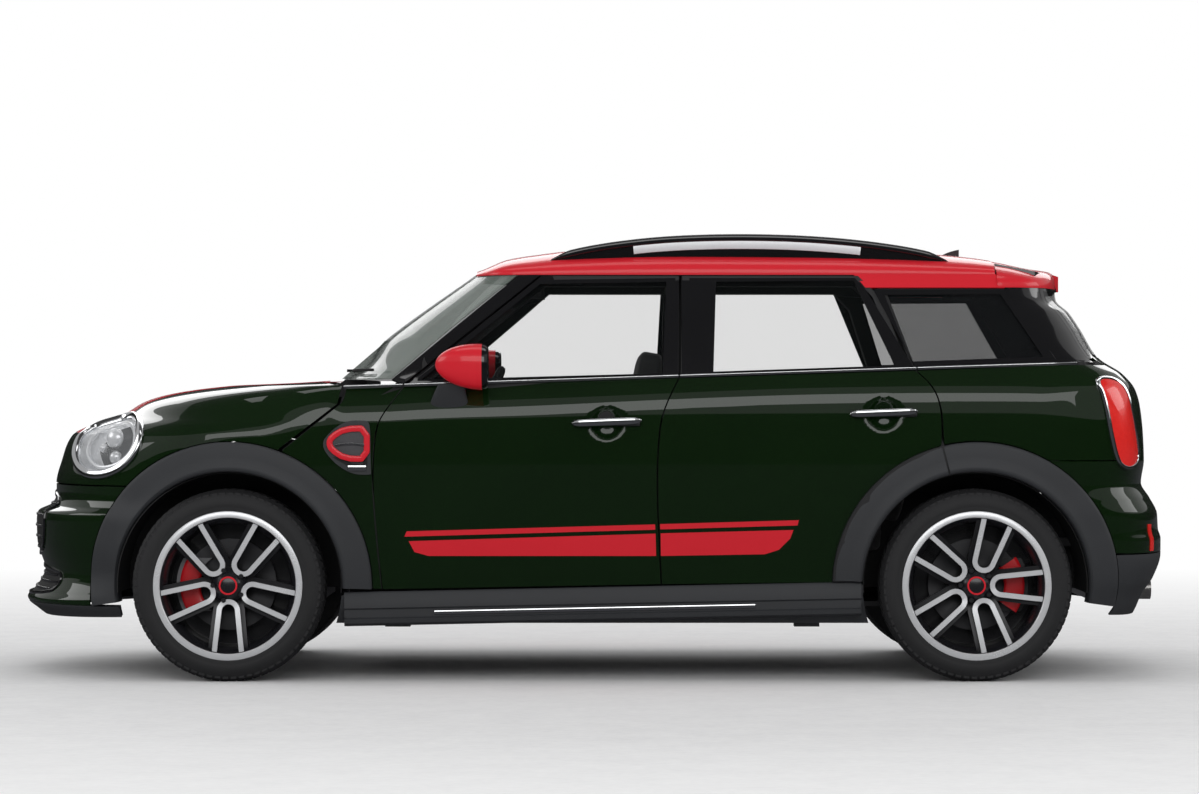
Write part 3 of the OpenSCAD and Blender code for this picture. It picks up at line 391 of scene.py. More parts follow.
def sheet(p, lift=2.0, depth=5.0, keep=None, outwards=None):
    # thick skin: the grid pushed out along its normals, an inner copy and a rim between them
    nu, nv = p.shape[:2]
    n = gridNormals(p)
    away = (p - core) if outwards is None else np.broadcast_to(np.array(outwards, float), p.shape)
    flip = (n * away).sum() < 0
    n = -n if flip else n
    outer, inner = p + n * lift, p + n * (lift - depth)
    faces = gridFaces(nu, nv)
    if keep is not None:
        centre = p[:-1, :-1] * 0.25 + p[1:, :-1] * 0.25 + p[:-1, 1:] * 0.25 + p[1:, 1:] * 0.25
        faces = faces[keep(centre.reshape(-1, 3))]
    size = nu * nv
    loop = np.r_[np.arange(nv - 1), np.arange(nu - 1) * nv + nv - 1, (nu - 1) * nv + np.arange(nv - 1, 0, -1),
        np.arange(nu - 1, 0, -1) * nv]
    nextLoop = np.roll(loop, -1)
    rim = np.stack([loop, nextLoop, nextLoop + size, loop + size], 1)
    outerFaces = faces[:, ::-1] if flip else faces
    innerFaces = (faces if flip else faces[:, ::-1]) + size
    rim = rim[:, ::-1] if flip else rim
    return np.vstack([outer.reshape(-1, 3), inner.reshape(-1, 3)]), np.vstack([outerFaces, innerFaces, rim])


def mirrored(part):
    return part[0] * np.array([1, -1, 1]), part[1][:, ::-1]


def joined(*parts):
    verts, faces, count = [], [], 0
    for v, f in parts:
        verts.append(v)
        faces.append(f + count)
        count += len(v)
    return np.vstack(verts), np.vstack(faces)


def bothSides(part):
    return joined(part, mirrored(part))


def sweep(path, profile, closed=False, outward=(0, 1, 0)):
    # profile (sideways, upward) carried along a path; sideways is a given direction, or path cross up without one
    p = np.array(path, float)
    t = (np.roll(p, -1, 0) - np.roll(p, 1, 0)) if closed else np.gradient(p, axis=0)
    t /= np.linalg.norm(t, axis=1, keepdims=True) + 1e-9
    if outward is None:
        o = np.cross(t, (0, 0, 1.0))
    else:
        o = np.broadcast_to(np.array(outward, float), p.shape)
        o = o - (o * t).sum(1, keepdims=True) * t
    o = o / (np.linalg.norm(o, axis=1, keepdims=True) + 1e-9)
    u = np.cross(o, t)
    q = np.array(profile, float)
    grid = p[:, None] + o[:, None] * q[None, :, 0, None] + u[:, None] * q[None, :, 1, None]
    return shell(grid, True, True) if closed else capped(grid)


def outwardFaces(verts, faces):
    # turn all faces over if the shape's signed volume is negative
    a, b, c, d = (verts[faces[:, k]] for k in range(4))
    volume = (a * np.cross(b, c)).sum() + (a * np.cross(c, d)).sum()
    return (verts, faces[:, ::-1]) if volume < 0 else (verts, faces)


def shell(grid, closeU=False, closeV=False):
    return outwardFaces(grid.reshape(-1, 3), gridFaces(*grid.shape[:2], closeU, closeV))


def capped(grid):
    # tube of closed rows, each end filled to its middle
    n, m = grid.shape[:2]
    i = np.arange(m)
    k, a, b, top = (i + 1) % m, np.full(m, n * m), np.full(m, n * m + 1), (n - 1) * m
    ends = [np.stack([a, i, k, a], 1), np.stack([b, top + k, top + i, b], 1)]
    verts = np.vstack([grid.reshape(-1, 3), grid[[0, -1]].mean(1)])
    return outwardFaces(verts, np.vstack([gridFaces(n, m, False, True), *ends]))


def revolved(profile, n):
    # profile (radius, along) turned round the y axis
    r, y = np.array(profile, float).T
    t = np.linspace(0, 2 * np.pi, n, endpoint=False)[:, None]
    return shell(xyz(r * np.cos(t), y, r * np.sin(t)), True, True)


def roundProfile(w, h, n=16, power=4):
    # rounded box profile: a superellipse
    t = np.linspace(0, 2 * np.pi, n, endpoint=False)
    return np.stack([w / 2 * signPower(np.cos(t), 2 / power), h / 2 * signPower(np.sin(t), 2 / power)], 1)


def piece(name, part, material, body="body", smooth=40, replaces=()):
    verts, faces = part
    data = bpy.data.meshes.new(name)
    faces = [tuple(dict.fromkeys(f)) for f in faces.tolist()]
    data.from_pydata((np.asarray(verts) * 0.001).tolist(), [], faces)
    data.polygons.foreach_set("use_smooth", np.ones(len(data.polygons), bool))
    data.set_sharp_from_angle(angle=np.radians(smooth))
    data.materials.append(material)
    obj = bpy.data.objects.new(name, data)
    scene.collection.objects.link(obj)
    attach(obj, body)
    if replaces:
        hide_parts(*replaces)
    return obj


def pair(name, part, material, body="body", replaces=()):
    # one piece on each side; the star in a name stands for left or right
    for side, turn in (("left", lambda p: p), ("right", mirrored)):
        piece(name.replace("*", side), turn(part), material, body.replace("*", side),
              replaces=[old.replace("*", side) for old in replaces])


# painted skins
seam = {"wide": 5.5, "underBelt": 7.0, "flare": 3.0}
seamFront = [(764, 329), (784, 520), (799, 739), (786, 902), (759, 957), (689, 1049)]
seamMiddle = [(-228, 347), (-217, 560), (-212.5, 720), (-217, 848), (-230, 957), (-291, 1081)]


def beltZ(x):
    return car["belt"] - car["beltFall"] * np.asarray(x, float)


def flareEdge(cx, fromDeg, toDeg, n=40):
    # skin edge round a wheel arch, a seam outside the flare
    t, r = np.radians(np.linspace(fromDeg, toDeg, n)), car["flareR"] + seam["flare"]
    return np.stack([cx + r * np.cos(t), car["axle"] + r * np.sin(t)], 1)


def noseLine(z):
    return np.stack([car["halfL"] - noseBack(z), z], 1)


def tailLine(z):
    return np.stack([tailBack(z) - car["halfL"], z], 1)


def shift(points, dx):
    return [(x + dx, z) for x, z in points]


def underBelt(x):
    return x, beltZ(x) - seam["underBelt"]


def doorSkin(key):
    if key == "front":
        a, b = rounded(seamFront, 2), rounded(seamMiddle, 2)
    else:
        a = rounded(shift(seamMiddle, -seam["wide"]), 2)
        post = rounded([(-1230, 848), (-1229, 966), (-1203, 1048), (-1141, 1108)], 2)
        b = np.vstack([flareEdge(car["rx"], 1.3, 75.5), post])
    return patch([a[0], b[0]], [underBelt(a[-1][0]), underBelt(b[-1][0])], a, b, 90, 110)


handles = {"front": {"centre": (-36, 922), "half": 124, "cup": 61, "deep": 17},
           "rear": {"centre": (-1024, 955), "half": 120, "cup": 61, "deep": 17}}
for key, spot in handles.items():
    grid = onSide(doorSkin(key))
    away = np.hypot(grid[..., 0] - spot["centre"][0], grid[..., 2] - spot["centre"][1])
    grid[..., 1] -= spot["deep"] * np.clip(1 - (away / spot["cup"]) ** 4, 0, 1)  # round recess behind the handle
    pair(f"door_{key}_*_skin", sheet(grid, outwards=(0, 1, 0)), paintGreen, f"door_{key}_*")

fenderTop = rounded([(1119, 826), (919, 985), (905, 1000), (893, 1052)], 1)
fenderFront = np.vstack([flareEdge(car["fx"], 181.2, 112), fenderTop])
fenderRear = rounded(shift(seamFront, seam["wide"]), 2)
xz = patch([fenderFront[0], fenderRear[0]], [fenderFront[-1], underBelt(fenderRear[-1][0])], fenderFront, fenderRear,
    50, 110)
piece("fender_skins", bothSides(sheet(onSide(xz), outwards=(0, 1, 0))), paintGreen)

hoodCentre = noseLine(np.linspace(1064, 698, 200))
hoodCentre = np.vstack([[1014, 1068], hoodCentre[hoodCentre[:, 0] > 1030]])
hoodEdge = np.vstack([[(913, 1052), (927, 990), (1131, 833)], flareEdge(car["fx"], 110, 43.5)])
hoodGrid = wrapped(hoodCentre, hoodEdge, 150, 80)
lampSpot = {"x": 1778.0, "z": 842.0, "a": 142.0, "b": 108.0, "turn": -28.0, "least": 385.0, "hole": 0.93}


def outsideLamp(c):
    # beyond the lamp's turned ellipse, or nearer to the middle of the car than the lamps reach
    t = np.radians(lampSpot["turn"])
    dx, dz = c[:, 0] - lampSpot["x"], c[:, 2] - lampSpot["z"]
    u, v = dx * np.cos(t) + dz * np.sin(t), -dx * np.sin(t) + dz * np.cos(t)
    share = np.hypot(u / lampSpot["a"], v / lampSpot["b"])
    return (share > lampSpot["hole"]) | (np.abs(c[:, 1]) < lampSpot["least"] - 8)


piece("hood_skin", sheet(hoodGrid, 3.0, 6.0, keep=outsideLamp), paintGreen, "hood", replaces=("hood",))
piece("hood_liner", sheet(hoodGrid[2:-3, 4:-4], -14.0, 5.0, keep=outsideLamp), softBlack, "hood")
print("painted skins: doors, fenders, hood")


def surfaceZ(x, y):
    # height of the hood where the half width equals y, by halving the interval
    low, high = np.full(np.shape(x), 690.0), np.full(np.shape(x), 1100.0)
    for _ in range(36):
        middle = (low + high) / 2
        wide = sideY(x, middle) > y
        low, high = np.where(wide, middle, low), np.where(wide, high, middle)
    return low


stripes = {"wide": (150.0, 325.0), "thin": (340.0, 351.0), "from": 1032.0, "to": 1960.0, "bow": 60.0}
parts = []
for inner, outer in (stripes["wide"], stripes["thin"]):
    x, y = overGrid((stripes["from"], stripes["to"], 90), (inner, outer, 24))
    x = x - stripes["bow"] * (y / 400) ** 2
    parts.append(bothSides(sheet(xyz(x, y, surfaceZ(x, y)), 4.4, 2.4)))
piece("hood_stripes", joined(*parts), paintRed, "hood")

# front bumper: nose profile in the middle, flare arc at the side
bumperCentre = noseLine(np.linspace(692, 262, 160))
bumperEdge = np.vstack([flareEdge(car["fx"], 42.8, -2), [(1829, 262)]])
piece("front_bumper_skin", sheet(wrapped(bumperCentre, bumperEdge, 150, 110)), paintGreen, replaces=("front_bumper",))
lipCentre = noseLine(np.linspace(258, 212, 24)) + (4, 0)
piece("front_lip", sheet(wrapped(lipCentre, [(1716, 262), (1712, 224)], 24, 110), 4.0, 14.0), darkPlastic)

# rear quarter: door seam, belt, tail corner and flare
quarterFront = rounded([(-1240, 846), (-1236, 900), (-1234.5, 966), (-1209, 1048), (-1147, 1108)], 2)
cornerZ = np.linspace(790, 1128, 40)
quarterRear = np.stack([endX(614.0, cornerZ, False), cornerZ], 1)
quarterBottom = np.vstack([flareEdge(car["rx"], 77.2, 120), [(-1760, 789)], quarterRear[:1]])
quarterTop = [quarterFront[-1], (-1660, beltZ(-1660) - 6), quarterRear[-1]]
xz = patch(quarterBottom, quarterTop, quarterFront, quarterRear, 110, 70)
piece("quarter_skins", bothSides(sheet(onSide(xz), outwards=(-0.3, 1, 0))), paintGreen)

# rear bumper: leaves room for the tailgate; below it a dark valance with holes for the exhaust tips
gate = {"low": 604.0, "high": 1158.0, "gap": 5.0}
gateHalf = smoothTable([(600, 528), (770, 586), (1090, 608), (1158, 628)])
tips = {"at": ((-250, 300), (250, 300)), "hole": 46.0}


def outsideGate(c):
    return (np.abs(c[:, 1]) > gateHalf(c[:, 2]) + gate["gap"]) | (c[:, 2] < gate["low"] - gate["gap"])


def outsideTips(c):
    return np.all([np.hypot(c[:, 1] - y, c[:, 2] - z) > tips["hole"] for y, z in tips["at"]], axis=0)


bumperGrid = wrapped(tailLine(np.linspace(784, 452, 90)), flareEdge(car["rx"], 120.4, 167.2), 160, 160)
piece("rear_bumper_skin", sheet(bumperGrid, keep=outsideGate), paintGreen, replaces=("rear_bumper",))
z, y = overGrid((460, 556, 14), (694, 726, 6))
piece("rear_reflectors", bothSides(sheet(xyz(endX(y, z, False), y, z), 5.0, 6.0)), lampRed)
valanceEdge = np.vstack([flareEdge(car["rx"], 168, 184), [(-1862, 262), (-1842, 232)]])
valanceGrid = wrapped(tailLine(np.linspace(449, 222, 60)), valanceEdge, 60, 90)
piece("rear_valance", sheet(valanceGrid, 2.0, 6.0, keep=outsideTips), darkPlastic)

# tailgate, drawn in the rear view: painted skin, inner trim and a black frame round the glass
z, t = overGrid((gate["low"], gate["high"], 110), (-1, 1, 90))
y = t * gateHalf(z)
gateGrid = xyz(endX(y, z, False), y, z)
piece("tailgate_skin", sheet(gateGrid), paintGreen, "tailgate", replaces=("tailgate",))
piece("tailgate_trim", sheet(gateGrid[4:-2, 4:-4], -22.0, 8.0), cabinTrim, "tailgate")
screen = {"low": 1165.0, "high": 1402.0, "half": 640.0, "lean": 0.32, "frame": 26.0, "lap": 6.0}


def rearScreen(z, y):
    # rear glass house: the tail's own profile with its arc across the car
    bend = np.clip(1 - (y / cabinHalf(z)) ** 2, 0, 1) ** (1 / car["tailPower"])
    return xyz((tailBack(z) - car["halfL"]) * bend, y, z)


def screenHalf(z, more=0.0):
    return screen["half"] + more - screen["lean"] * (z - screen["low"])


def outsideScreen(c):
    y, z, lap = np.abs(c[:, 1]), c[:, 2], screen["lap"]
    return (z < screen["low"] + lap) | (z > screen["high"] - lap) | (y > screenHalf(z, -lap))


z, t = overGrid((1154, 1430, 70), (-1, 1, 110))
frameGrid = rearScreen(z, t * screenHalf(z, screen["frame"]))
piece("tailgate_frame", sheet(frameGrid, 0.0, 12.0, outsideScreen, (-1, 0, 0.5)), glossBlack, "tailgate")
print("painted skins: bumpers, quarters, tailgate")


# roof: a superellipse across the car between its two side edges
def roofSide(x):
    return np.minimum(car["roofEdge"], roofZ(x) - 25)


def roofGrid(x0, x1, n, m, edge=None):
    x, t = overGrid((x0, x1, n), (-np.pi / 2, np.pi / 2, m))
    e = roofSide(x) if edge is None else np.full_like(x, edge)
    k = 2 / car["roofPower"]
    return xyz(x, cabinY(x, e) * signPower(np.sin(t), k), e + (roofZ(x) - e) * np.clip(np.cos(t), 0, 1) ** k)


roofMain = sheet(roofGrid(440, -1444, 150, 120))
roofCorner = onSide(quad([(-972, 1410), (-930, 1460), (-1446, 1460), (-1478, 1410)], 50, 12), cabinY)
roofCorners = bothSides(sheet(roofCorner, 3.0, 6.0, outwards=(0, 1, 0)))
piece("roof_skin", joined(roofMain, roofCorners), paintRed, replaces=("roof_panel",))
piece("roof_lining", sheet(roofGrid(425, -1440, 60, 50), -14.0, 4.0), headLining)
fin = {"from": -1305, "to": -1372, "high": 38.0, "rows": 16}
finX = np.linspace(fin["from"], fin["to"], fin["rows"])
finTop = roofZ(finX) + fin["high"] * np.linspace(0.05, 1, fin["rows"]) ** 0.6
finSide = np.stack([xyz(finX, 0, roofZ(finX) - 4), xyz(finX, 0, finTop)], 1)
piece("roof_fin", sheet(finSide, 7.0, 14.0, outwards=(0, 1, 0)), darkPlastic)
piece("spoiler_skin", sheet(roofGrid(-1451, -1748, 40, 100, 1412), 2.5, 14.0), paintRed, "tailgate")
print("roof")

# glass house: black bands round the panes of each side
windows = {
    "front": {"outer": [(686, 1056), (200, 1453), (-298, 1453), (-291, 1086)],
              "inner": [(628, 1077), (205, 1424), (-252, 1432), (-236, 1100)]},
    "rear": {"outer": [(-305, 1087), (-306, 1453), (-944, 1453), (-1141, 1112)],
             "inner": [(-418, 1106), (-432, 1432), (-930, 1436), (-1068, 1128)]},
    "quarter": {"outer": [(-1147, 1112), (-1000, 1405), (-1481, 1405), (-1655, 1140)],
                "inner": [(-1128, 1142), (-1040, 1384), (-1462, 1386), (-1602, 1160)]},
}


def bandRing(outer, inner, lift=3.0, depth=16.0):
    # band between two loops with matching corners
    def loop(points):
        p = np.array(points, float)
        t = np.linspace(0, 1, 24, endpoint=False)[None, :, None]
        return (p[:, None] * (1 - t) + np.roll(p, -1, 0)[:, None] * t).reshape(-1, 2)
    w = np.linspace(0, 1, 6)[None, :, None]
    xz = loop(outer)[:, None] * (1 - w) + loop(inner)[:, None] * w
    front, back = onSide(xz, cabinY, lift), onSide(xz, cabinY, lift - depth)
    return shell(np.concatenate([front, back[:, ::-1]], 1), True, True)


for key, window in windows.items():
    band = bandRing(window["outer"], window["inner"])
    middle = np.mean([x for x, z in window["inner"]])
    corners = [(x + (6 if x > middle else -6), z + (6 if z > 1250 else -6)) for x, z in window["inner"]]
    pane = sheet(onSide(quad(corners, 30, 24), cabinY), -4.0, 4.0, outwards=(0, 1, 0))
    if key == "quarter":
        pair("quarter_band_*", band, glossBlack)
        pair("quarter_glass_*", pane, darkGlass)
    else:
        pair(f"door_{key}_*_band", band, glossBlack, f"door_{key}_*")
        pair(f"door_{key}_*_pane", pane, sideGlass, f"door_{key}_*", (f"glass_{key}_*",))

screenZ = np.linspace(1084, 1482, 60)
screenCentre = np.stack([car["halfL"] - np.interp(screenZ, [1075, 1240, 1484], [1174, 1366, 1708]), screenZ], 1)
screenGrid = wrapped(screenCentre, [(742, 1084), (520, 1272), (290, 1458)], 60, 50, cabinY)
wiper = {"row": 3, "spans": ((12, 50), (54, 90)), "off": (7.0, 0.0, 9.0)}
line, blade = screenGrid[wiper["row"]] + wiper["off"], roundProfile(13, 11, 10)
piece("wipers", joined(*[sweep(line[a:b], blade, outward=None) for a, b in wiper["spans"]]), softBlack)
piece("windscreen", sheet(screenGrid, -2.0, 5.0, outwards=(1, 0, 0.7)), screenGlass, replaces=("fixed_glass",))
pillar = onSide(quad([(735, 1076), (282, 1456), (206, 1456), (692, 1062)], 8, 60), cabinY)
piece("a_pillar_skins", bothSides(sheet(pillar, 3.0, 8.0, outwards=(0.3, 1, 0.2))), glossBlack)

edgeZ = np.linspace(1140, 1412, 40)
pillarRear = rearScreen(edgeZ, screenHalf(edgeZ, screen["frame"] + 4))[:, [0, 2]]
pillarFront = [(-1650, 1140), (-1478, 1412)]
post = patch([pillarFront[0], pillarRear[0]], [pillarFront[1], pillarRear[-1]], pillarFront, pillarRear, 14, 40)
piece("d_pillar_skins", bothSides(sheet(onSide(post, cabinY), 1.0, 10.0, outwards=(-0.3, 1, 0.2))), glossBlack)
z, t = overGrid((screen["low"], screen["high"], 50), (-1, 1, 80))
rearGlass = sheet(rearScreen(z, t * screenHalf(z)), 1.0, 4.0, outwards=(-1, 0, 0.5))
piece("rear_screen", rearGlass, darkGlass, "tailgate", replaces=("tailgate_glass",))
print("glass house")

# bright strip along the belt
trim = {"high": 11.0, "out": 14.4}


def beltStrip(x0, x1):
    xs = np.linspace(x0, x1, 60)
    zs = beltZ(xs)
    path = xyz(xs, np.maximum(sideY(xs, zs), cabinY(xs, zs)) + 1, zs)
    return sweep(path, roundProfile(trim["out"], trim["high"], 12))


for key, span in (("front", (688, -292)), ("rear", (-298, -1143))):
    pair(f"belt_strip_{key}_*", beltStrip(*span), chrome, f"door_{key}_*")
piece("belt_strip_fixed", bothSides(joined(beltStrip(905, 694), beltStrip(-1149, -1722))), chrome)

# wheel arch flares: a section (radius, out) carried round the arch, standing out from the side
flare = [(512, -6), (512, 8), (508, 13), (500, 15.5), (462, 17), (436, 19), (426, 23), (419, 24), (411, 20), (406, 10),
         (405, -70), (411, -70), (420, -30), (505, -30), (508, -20)]


def flarePart(cx, fromDeg, toDeg, n=90):
    r, out = np.array(flare, float).T
    t = np.radians(np.linspace(fromDeg, toDeg, n))[:, None]
    onSkin = np.clip(r, 420, 505)
    y = sideY(cx + onSkin * np.cos(t), car["axle"] + onSkin * np.sin(t)) + out
    return capped(xyz(cx + r * np.cos(t), y, car["axle"] + r * np.sin(t)))


fixedFlares = joined(flarePart(car["fx"], -9, 181.5), flarePart(car["rx"], 76.6, 189))
piece("flares_fixed", bothSides(fixedFlares), darkPlastic, replaces=("wheel_flares",))
pair("flare_door_*", flarePart(car["rx"], 2, 75.7), darkPlastic, "door_rear_*")

# arch liners: an inner wall and a round ceiling behind each flare, as (radii, distances from the middle)
liner = {"wall": ((190.0, 403.0), (485.0, 485.0)), "ceiling": ((403.0, 403.0), (485.0, 838.0))}
parts = []
for cx in (car["fx"], car["rx"]):
    for (r0, r1), (y0, y1) in liner.values():
        a, w = overGrid((-4, 184, 60), (0, 1, 6))
        a, r, y = np.radians(a), r0 + (r1 - r0) * w, y0 + (y1 - y0) * w
        parts.append(bothSides(sheet(xyz(cx + r * np.cos(a), y, car["axle"] + r * np.sin(a)), 0.0, 4.0)))
piece("arch_liners", joined(*parts), softBlack)

# sill: a section (up, out) carried from arch to arch
sill = {"from": 902.0, "to": -945.0, "low": 317.0, "high": 355.0,
        "section": [(0, -20), (0, 4), (-8, 11), (-58, 14), (-64, 6), (-92, 6), (-97, 15), (-112, 12), (-122, -2),
                    (-118, -60), (-8, -60)]}


def sillTop(x):
    return sill["low"] + (sill["from"] - x) * (sill["high"] - sill["low"]) / (sill["from"] - sill["to"])


xs = np.linspace(sill["from"], sill["to"], 120)[:, None]
up, out = np.array(sill["section"], float).T
piece("sill_covers", bothSides(capped(xyz(xs, sideY(xs, sillTop(xs) - 20) + out, sillTop(xs) + up))), darkPlastic)
xs = np.linspace(580, -566, 80)
zs = sillTop(xs) - 78
strip = sweep(xyz(xs, sideY(xs, zs + 58) + 8, zs), roundProfile(8, 15, 12))
piece("sill_strips", bothSides(strip), chrome)

# door stripes: thin bands laid on the skins, each from a top and a bottom line
bands = {"front": (([(678, 536), (-208, 561)], [(686, 517), (-209, 542)]),
                   ([(671, 501), (-210, 528)], [(650, 462), (600, 448), (-212, 448)])),
         "rear": (([(-226, 562), (-721, 576)], [(-227, 543), (-716, 557)]),
                  ([(-228, 529), (-702, 541)], [(-229, 448), (-600, 454), (-650, 470), (-690, 510)]))}


def bandPart(top, bottom):
    xz = patch(bottom, top, [bottom[0], top[0]], [bottom[-1], top[-1]], 70, 6)
    return sheet(onSide(xz), 3.0, 1.6, outwards=(0, 1, 0))


for key, rows in bands.items():
    pair(f"door_stripes_{key}_*", joined(*[bandPart(*row) for row in rows]), paintRed, f"door_{key}_*")
print("trim")


def tapered(path, bar, size):
    # a profile in the y-z plane carried along a path, scaled at each point
    return shell(path[:, None] + xyz(0, bar[:, 0], bar[:, 1]) * size[:, None, None], closeV=True)


# handles: a rounded bar on two feet across a round cup
def handlePart(spot):
    cx, cz = spot["centre"]
    t = np.linspace(-1, 1, 40)
    x, z = cx + t * spot["half"], cz + 4 - 0.04 * t * spot["half"]
    out = 22 - 12 * np.abs(t) ** 6
    size = np.sqrt(np.clip(1 - np.abs(t) ** 8, 0.05, 1))
    parts = [tapered(xyz(x, sideY(x, z) + out, z), roundProfile(14, 26, 14, 3), size)]
    for s in (-1, 1):
        x, y, z = cx + s * spot["half"] * 0.86, sideY(cx, cz), cz + 4 - s * 4
        parts.append(sweep([(x, y - 6, z), (x, y + 16, z)], roundProfile(30, 16, 10), outward=None))
    return joined(*parts)


for key, spot in handles.items():
    pair(f"handle_{key}_*", handlePart(spot), chrome, f"door_{key}_*")

# side scuttle: dark plate, red ring, mesh and a bright bar
scuttle = {"plate": [(985, 846), (950, 892), (895, 930), (830, 932), (806, 925), (806, 745), (800, 738), (870, 738),
    (940, 782)],
           "ring": [(954, 852), (943, 874), (898, 901), (819, 904), (819, 794), (896, 796), (945, 828)]}


def platePart(points, lift, depth):
    # flat-topped plate inside a loop, over a rim
    p = closedLoop(points, 72)
    top = onSide(shrunk(p, np.linspace(1, 0, 10)), sideY, lift)
    return shell(np.concatenate([onSide(p[:, None], sideY, lift - depth), top], 1), True)


piece("scuttle_plates", bothSides(platePart(scuttle["plate"], 7, 9)), darkPlastic)
piece("scuttle_mesh", bothSides(platePart(scuttle["ring"], 9, 3)), mesh)
path = onSide(closedLoop(scuttle["ring"], 100, 1), sideY, 11)
piece("scuttle_rings", bothSides(sweep(path, roundProfile(14, 22, 12), closed=True)), paintRed)
highX, lowX = np.linspace(930, 826, 24), np.linspace(886, 822, 12)
highBar = xyz(highX, sideY(highX, 845.0) + 14, 843 + 6 * np.sin(np.linspace(0, np.pi, 24)))
lowBar = xyz(lowX, sideY(lowX, 762.0) + 10, 762.0)
bars = [sweep(path, roundProfile(6, high, 10)) for path, high in ((highBar, 7), (lowBar, 20))]
piece("scuttle_bars", bothSides(joined(*bars)), chrome)
print("handles and scuttles")

# head lamps: bright ring, bowl, inner ring, three projectors and a clear lens
lampAxis = np.array([0.62, 0.76, 0.18])


def lampRing(scale, n=80):
    # the lamp's turned ellipse in the side view
    t, w = np.linspace(0, 2 * np.pi, n, endpoint=False), np.radians(lampSpot["turn"])
    u, v = lampSpot["a"] * scale * np.cos(t), lampSpot["b"] * scale * np.sin(t)
    return np.stack([lampSpot["x"] + u * np.cos(w) - v * np.sin(w), lampSpot["z"] + u * np.sin(w) + v * np.cos(w)], 1)


def onLamp(xz, out=0.0):
    # points on the hood's corner, held outside a least distance from the middle of the car
    x, z = xz[..., 0], xz[..., 1]
    d = z - surfaceZ(x, np.full(x.shape, lampSpot["least"]))
    z = z - 0.5 * (d + np.sqrt(d * d + 600)) + 6
    return xyz(x, np.maximum(sideY(x, z), lampSpot["least"] - 2) + out, z)


def facing(grid, axis):
    # disc of closed rings, its faces turned towards an axis
    faces = gridFaces(*grid.shape[:2], True, False)
    return grid.reshape(-1, 3), faces if (gridNormals(grid, True) * axis).sum() > 0 else faces[:, ::-1]


def lampDisc(rim, rise, power, off):
    # rings of the lamp outline, raised along the axis by 1 minus a power of the radius share
    rho = np.linspace(rim, 0.02, 16)
    height = rise * (1 - (rho / rim) ** power) + off
    return facing(onLamp(np.stack([lampRing(r) for r in rho], 1)) + lampAxis * height[None, :, None], lampAxis)


def lampTube(path, wide, high, n):
    return bothSides(sweep(path, roundProfile(wide, high, n), closed=True, outward=lampAxis))


piece("lamp_rings", lampTube(onLamp(lampRing(0.98), 4), 24, 32, 16), chrome, "hood")
piece("lamp_bowls", bothSides(lampDisc(0.96, -70, 4, -2)), lampSilver, "hood")
piece("lamp_inner_rings", lampTube(onLamp(lampRing(0.72)) - lampAxis * 24, 12, 16, 12), lampSilver, "hood")
axis = lampAxis / np.linalg.norm(lampAxis)
sideways = np.cross(axis, [0, 0, 1.0])
sideways /= np.linalg.norm(sideways)
upward = np.cross(sideways, axis)
lampCentre = onSide(np.array([lampSpot["x"] - 6, lampSpot["z"] + 4])) - lampAxis * 46
projectors = ({"up": 26, "side": 6, "r": 36, "long": 14}, {"up": -44, "side": -10, "r": 24, "long": 12},
              {"up": -10, "side": 60, "r": 16, "long": 8})


def projector(spec):
    # short barrel with a domed front: rows of (radius share, length past the barrel)
    share, past = np.array([(1, -spec["long"]), (1, 0), (0.86, 6), (0.6, 12), (0.25, 15), (0.5 / spec["r"], 16)]).T
    a = np.linspace(0, 2 * np.pi, 40, endpoint=False)[:, None, None]
    ring = np.cos(a) * sideways + np.sin(a) * upward
    centre = lampCentre + upward * spec["up"] + sideways * spec["side"]
    return shell(centre + ring * (spec["r"] * share)[:, None] + axis * (spec["long"] + past)[:, None], True)


piece("lamp_projectors", bothSides(joined(*[projector(spec) for spec in projectors])), lampSilver, "hood")
piece("lamp_lenses", bothSides(lampDisc(0.97, 22, 2, 1)), lensClear, "hood")

tail = [(-1786, 1068), (-1800, 1086), (-1862, 1080), (-1905, 1040), (-1925, 950), (-1950, 820), (-1946, 778),
    (-1915, 758),
        (-1880, 764), (-1858, 790), (-1838, 870), (-1822, 960), (-1806, 1030)]


def tailPoint(xz):
    # the lamp hugs the rounded corner; points past the corner keep the corner's own width
    x, z = xz[..., 0], xz[..., 1]
    x = np.maximum(x, 14 - reach(x, z))
    return xyz(x, sideY(x, z), z)


outline = closedLoop(tail, 100)
tailAxis = np.array([-0.75, 0.62, 0.1])
path = tailPoint(outline) + tailAxis * 6
piece("tail_rings", bothSides(sweep(path, roundProfile(18, 13, 12), closed=True, outward=tailAxis)), chrome)
rho = np.linspace(0.97, 0.0, 14)
lensGrid = tailPoint(shrunk(outline, rho)) + tailAxis * (10 + 10 * (1 - rho ** 2))[None, :, None]
piece("tail_lenses", bothSides(facing(lensGrid, tailAxis)), lampRed, replaces=("tail_lamps",))
print("lamps")

# grille and intake: dark panels with bars and a ring, drawn as (y, z) on the nose
openings = {"grille": {"line": [(-470, 560), (-400, 660), (400, 660), (470, 560), (400, 430), (-400, 430)], "ring": 18},
            "intake": {"line": [(-560, 345), (-500, 390), (500, 390), (560, 345), (500, 285), (-500, 285)], "ring": 14}}
grilleBars = ((460, 405), (500, 428), (540, 442), (580, 436), (620, 410), (312, 500), (338, 525), (364, 505))


def onNose(yz, lift):
    return xyz(endX(yz[..., 0], yz[..., 1], True) + lift, yz[..., 0], yz[..., 1])


def grillePanel(points):
    grid = onNose(shrunk(closedLoop(points, 120), np.linspace(1, 0, 14)), 3.0)
    return shell(np.concatenate([grid[:, :1] - (8, 0, 0), grid], 1), True)


def grilleBar(z, half):
    yz = np.stack([np.linspace(-half, half, 60), np.full(60, z)], 1)
    return sweep(onNose(yz, 1.0), roundProfile(12, 9, 10), outward=(1, 0, 0))


